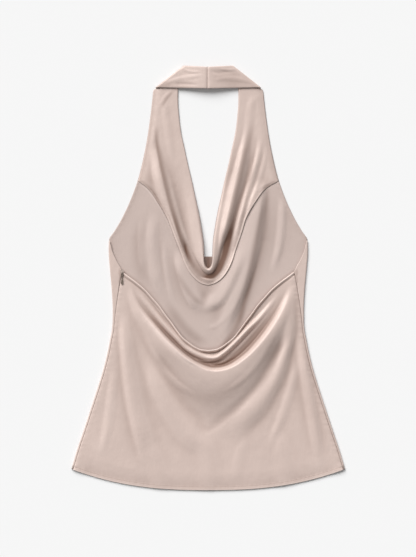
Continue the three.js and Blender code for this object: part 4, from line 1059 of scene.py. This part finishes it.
def armhole_lines(lift):
    """Lines of stitches along both armholes: on the straps' edges and on the turned sides."""
    edge_down = front_lattice[1][:, WRAP_COLUMNS]
    clear = SEAM_SEARCH["clear"]
    on_armhole = (edge_down > FACING_ARMHOLE_DOWN + clear) & (edge_down < UNDERARM_DOWN - clear)
    first_turned = int(np.argmax(~np.isnan(front_lattice[0][:, 0])))
    turned = slice(first_turned, first_turned + SEAM_SEARCH["turned_rows"])
    by_edge = slice(WRAP_COLUMNS, WRAP_COLUMNS + SEAM_SEARCH["ribs"])
    lines = []
    for way in (1, -1):
        strap = [grid[on_armhole, ::way][:, by_edge] for grid in front_lattice]
        side = [grid[turned, ::way][:, :WRAP_INWARD].T for grid in front_lattice]
        lines += [seam_line(part, ARMHOLE_HEM["stitch"], lift) for part in (strap, side)]
    return lines


def stitch_lines():
    """Each seam's name and its lines of stitches."""
    lift = SHELL_WALL / 2
    back_rows = slice(None, -SEAM_SEARCH["back_rows"] - 1, -1)
    front_rows = slice(None, -SEAM_SEARCH["front_rows"] - 1, -1)
    ribs = slice(STRAP_RIBS, -STRAP_RIBS)
    back_hem = [grid[back_rows].T for grid in back_lattice]
    facing_hem = [grid[ribs, :SEAM_SEARCH["ribs"]] for grid in facing_lattice]
    front_hem = [grid[front_rows, WRAP_COLUMNS:-WRAP_COLUMNS].T for grid in front_lattice]
    return {
        "back_hem_stitches": [seam_line(back_hem, HEM["stitch"], lift)],
        "facing_stitches": [seam_line(facing_hem, FACING_HEM["stitch"], lift)],
        "front_hem_stitches": [seam_line(front_hem, HEM["stitch"], -lift)],
        "armhole_stitches": armhole_lines(lift),
    }


for name, lines in stitch_lines().items():
    dress(thread(name, lines), (thread_dye,))

for name, paint in (("zip_slider", slider_paint), ("zip_pull", pull_paint)):
    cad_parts[name].data.materials.clear()
    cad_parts[name].data.materials.append(paint)


def floor_material():
    material = bpy.data.materials.new("pale_floor")
    material.use_nodes = True
    shader = material.node_tree.nodes["Principled BSDF"]
    shader.inputs["Base Color"].default_value = (0.86, 0.86, 0.86, 1)
    shader.inputs["Roughness"].default_value = 0.9
    shader.inputs["Specular IOR Level"].default_value = 0.1
    return material


KEY_LIGHT = {"way": (-0.45, 0.8, 0.72), "angle": 0.75, "energy": 3.95}
SKY_STRENGTH = 0.30
FLOOR = {"half": 30000.0, "z": -0.3}


def sun(name, way, angle, energy):
    """A large, far and soft light that shines from the given way."""
    data = bpy.data.lights.new(name, "SUN")
    data.angle = angle
    data.energy = energy
    made = bpy.data.objects.new(name, data)
    bpy.context.scene.collection.objects.link(made)
    x, y, z = way
    made.rotation_euler = (math.atan2(math.hypot(x, y), z), 0, math.atan2(y, x) + math.pi / 2)
    return made


def studio():
    corners = ((-1, -1), (1, -1), (1, 1), (-1, 1))
    floor = new_mesh("floor", [(x * FLOOR["half"], y * FLOOR["half"], FLOOR["z"]) for x, y in corners],
                     [(0, 1, 2, 3)])
    floor.data.materials.append(floor_material())
    sun("key", KEY_LIGHT["way"], KEY_LIGHT["angle"], KEY_LIGHT["energy"])
    world = bpy.data.worlds.new("studio")
    bpy.context.scene.world = world
    world.use_nodes = True
    sky = world.node_tree.nodes["Background"]
    sky.inputs["Color"].default_value = (1, 1, 1, 1)
    sky.inputs["Strength"].default_value = SKY_STRENGTH


# The photograph's frame is 416 by 557 pixels at 1.9 mm a pixel, seen from straight above.
PIXEL_MM = 1.9
PHOTO = {"width": 416, "height": 557, "middle_x": 208.2, "band_top_y": 65.5}
LENS_MM = 120.0
SENSOR_MM = 36.0
CLIP_END_M = 100


def camera():
    data = bpy.data.cameras.new("camera")
    data.lens = LENS_MM
    data.sensor_width = SENSOR_MM
    made = bpy.data.objects.new("camera", data)
    bpy.context.scene.collection.objects.link(made)
    bpy.context.scene.camera = made
    frame_height = PHOTO["height"] * PIXEL_MM
    x = (PHOTO["width"] / 2 - PHOTO["middle_x"]) * PIXEL_MM
    y = LENGTH / 2 - (PHOTO["height"] / 2 - PHOTO["band_top_y"]) * PIXEL_MM
    made.location = (x * MM, y * MM, (frame_height * LENS_MM / SENSOR_MM + TOP_Z) * MM)
    data.clip_end = CLIP_END_M


studio()
camera()
bpy.context.scene.view_settings.view_transform = "Standard"
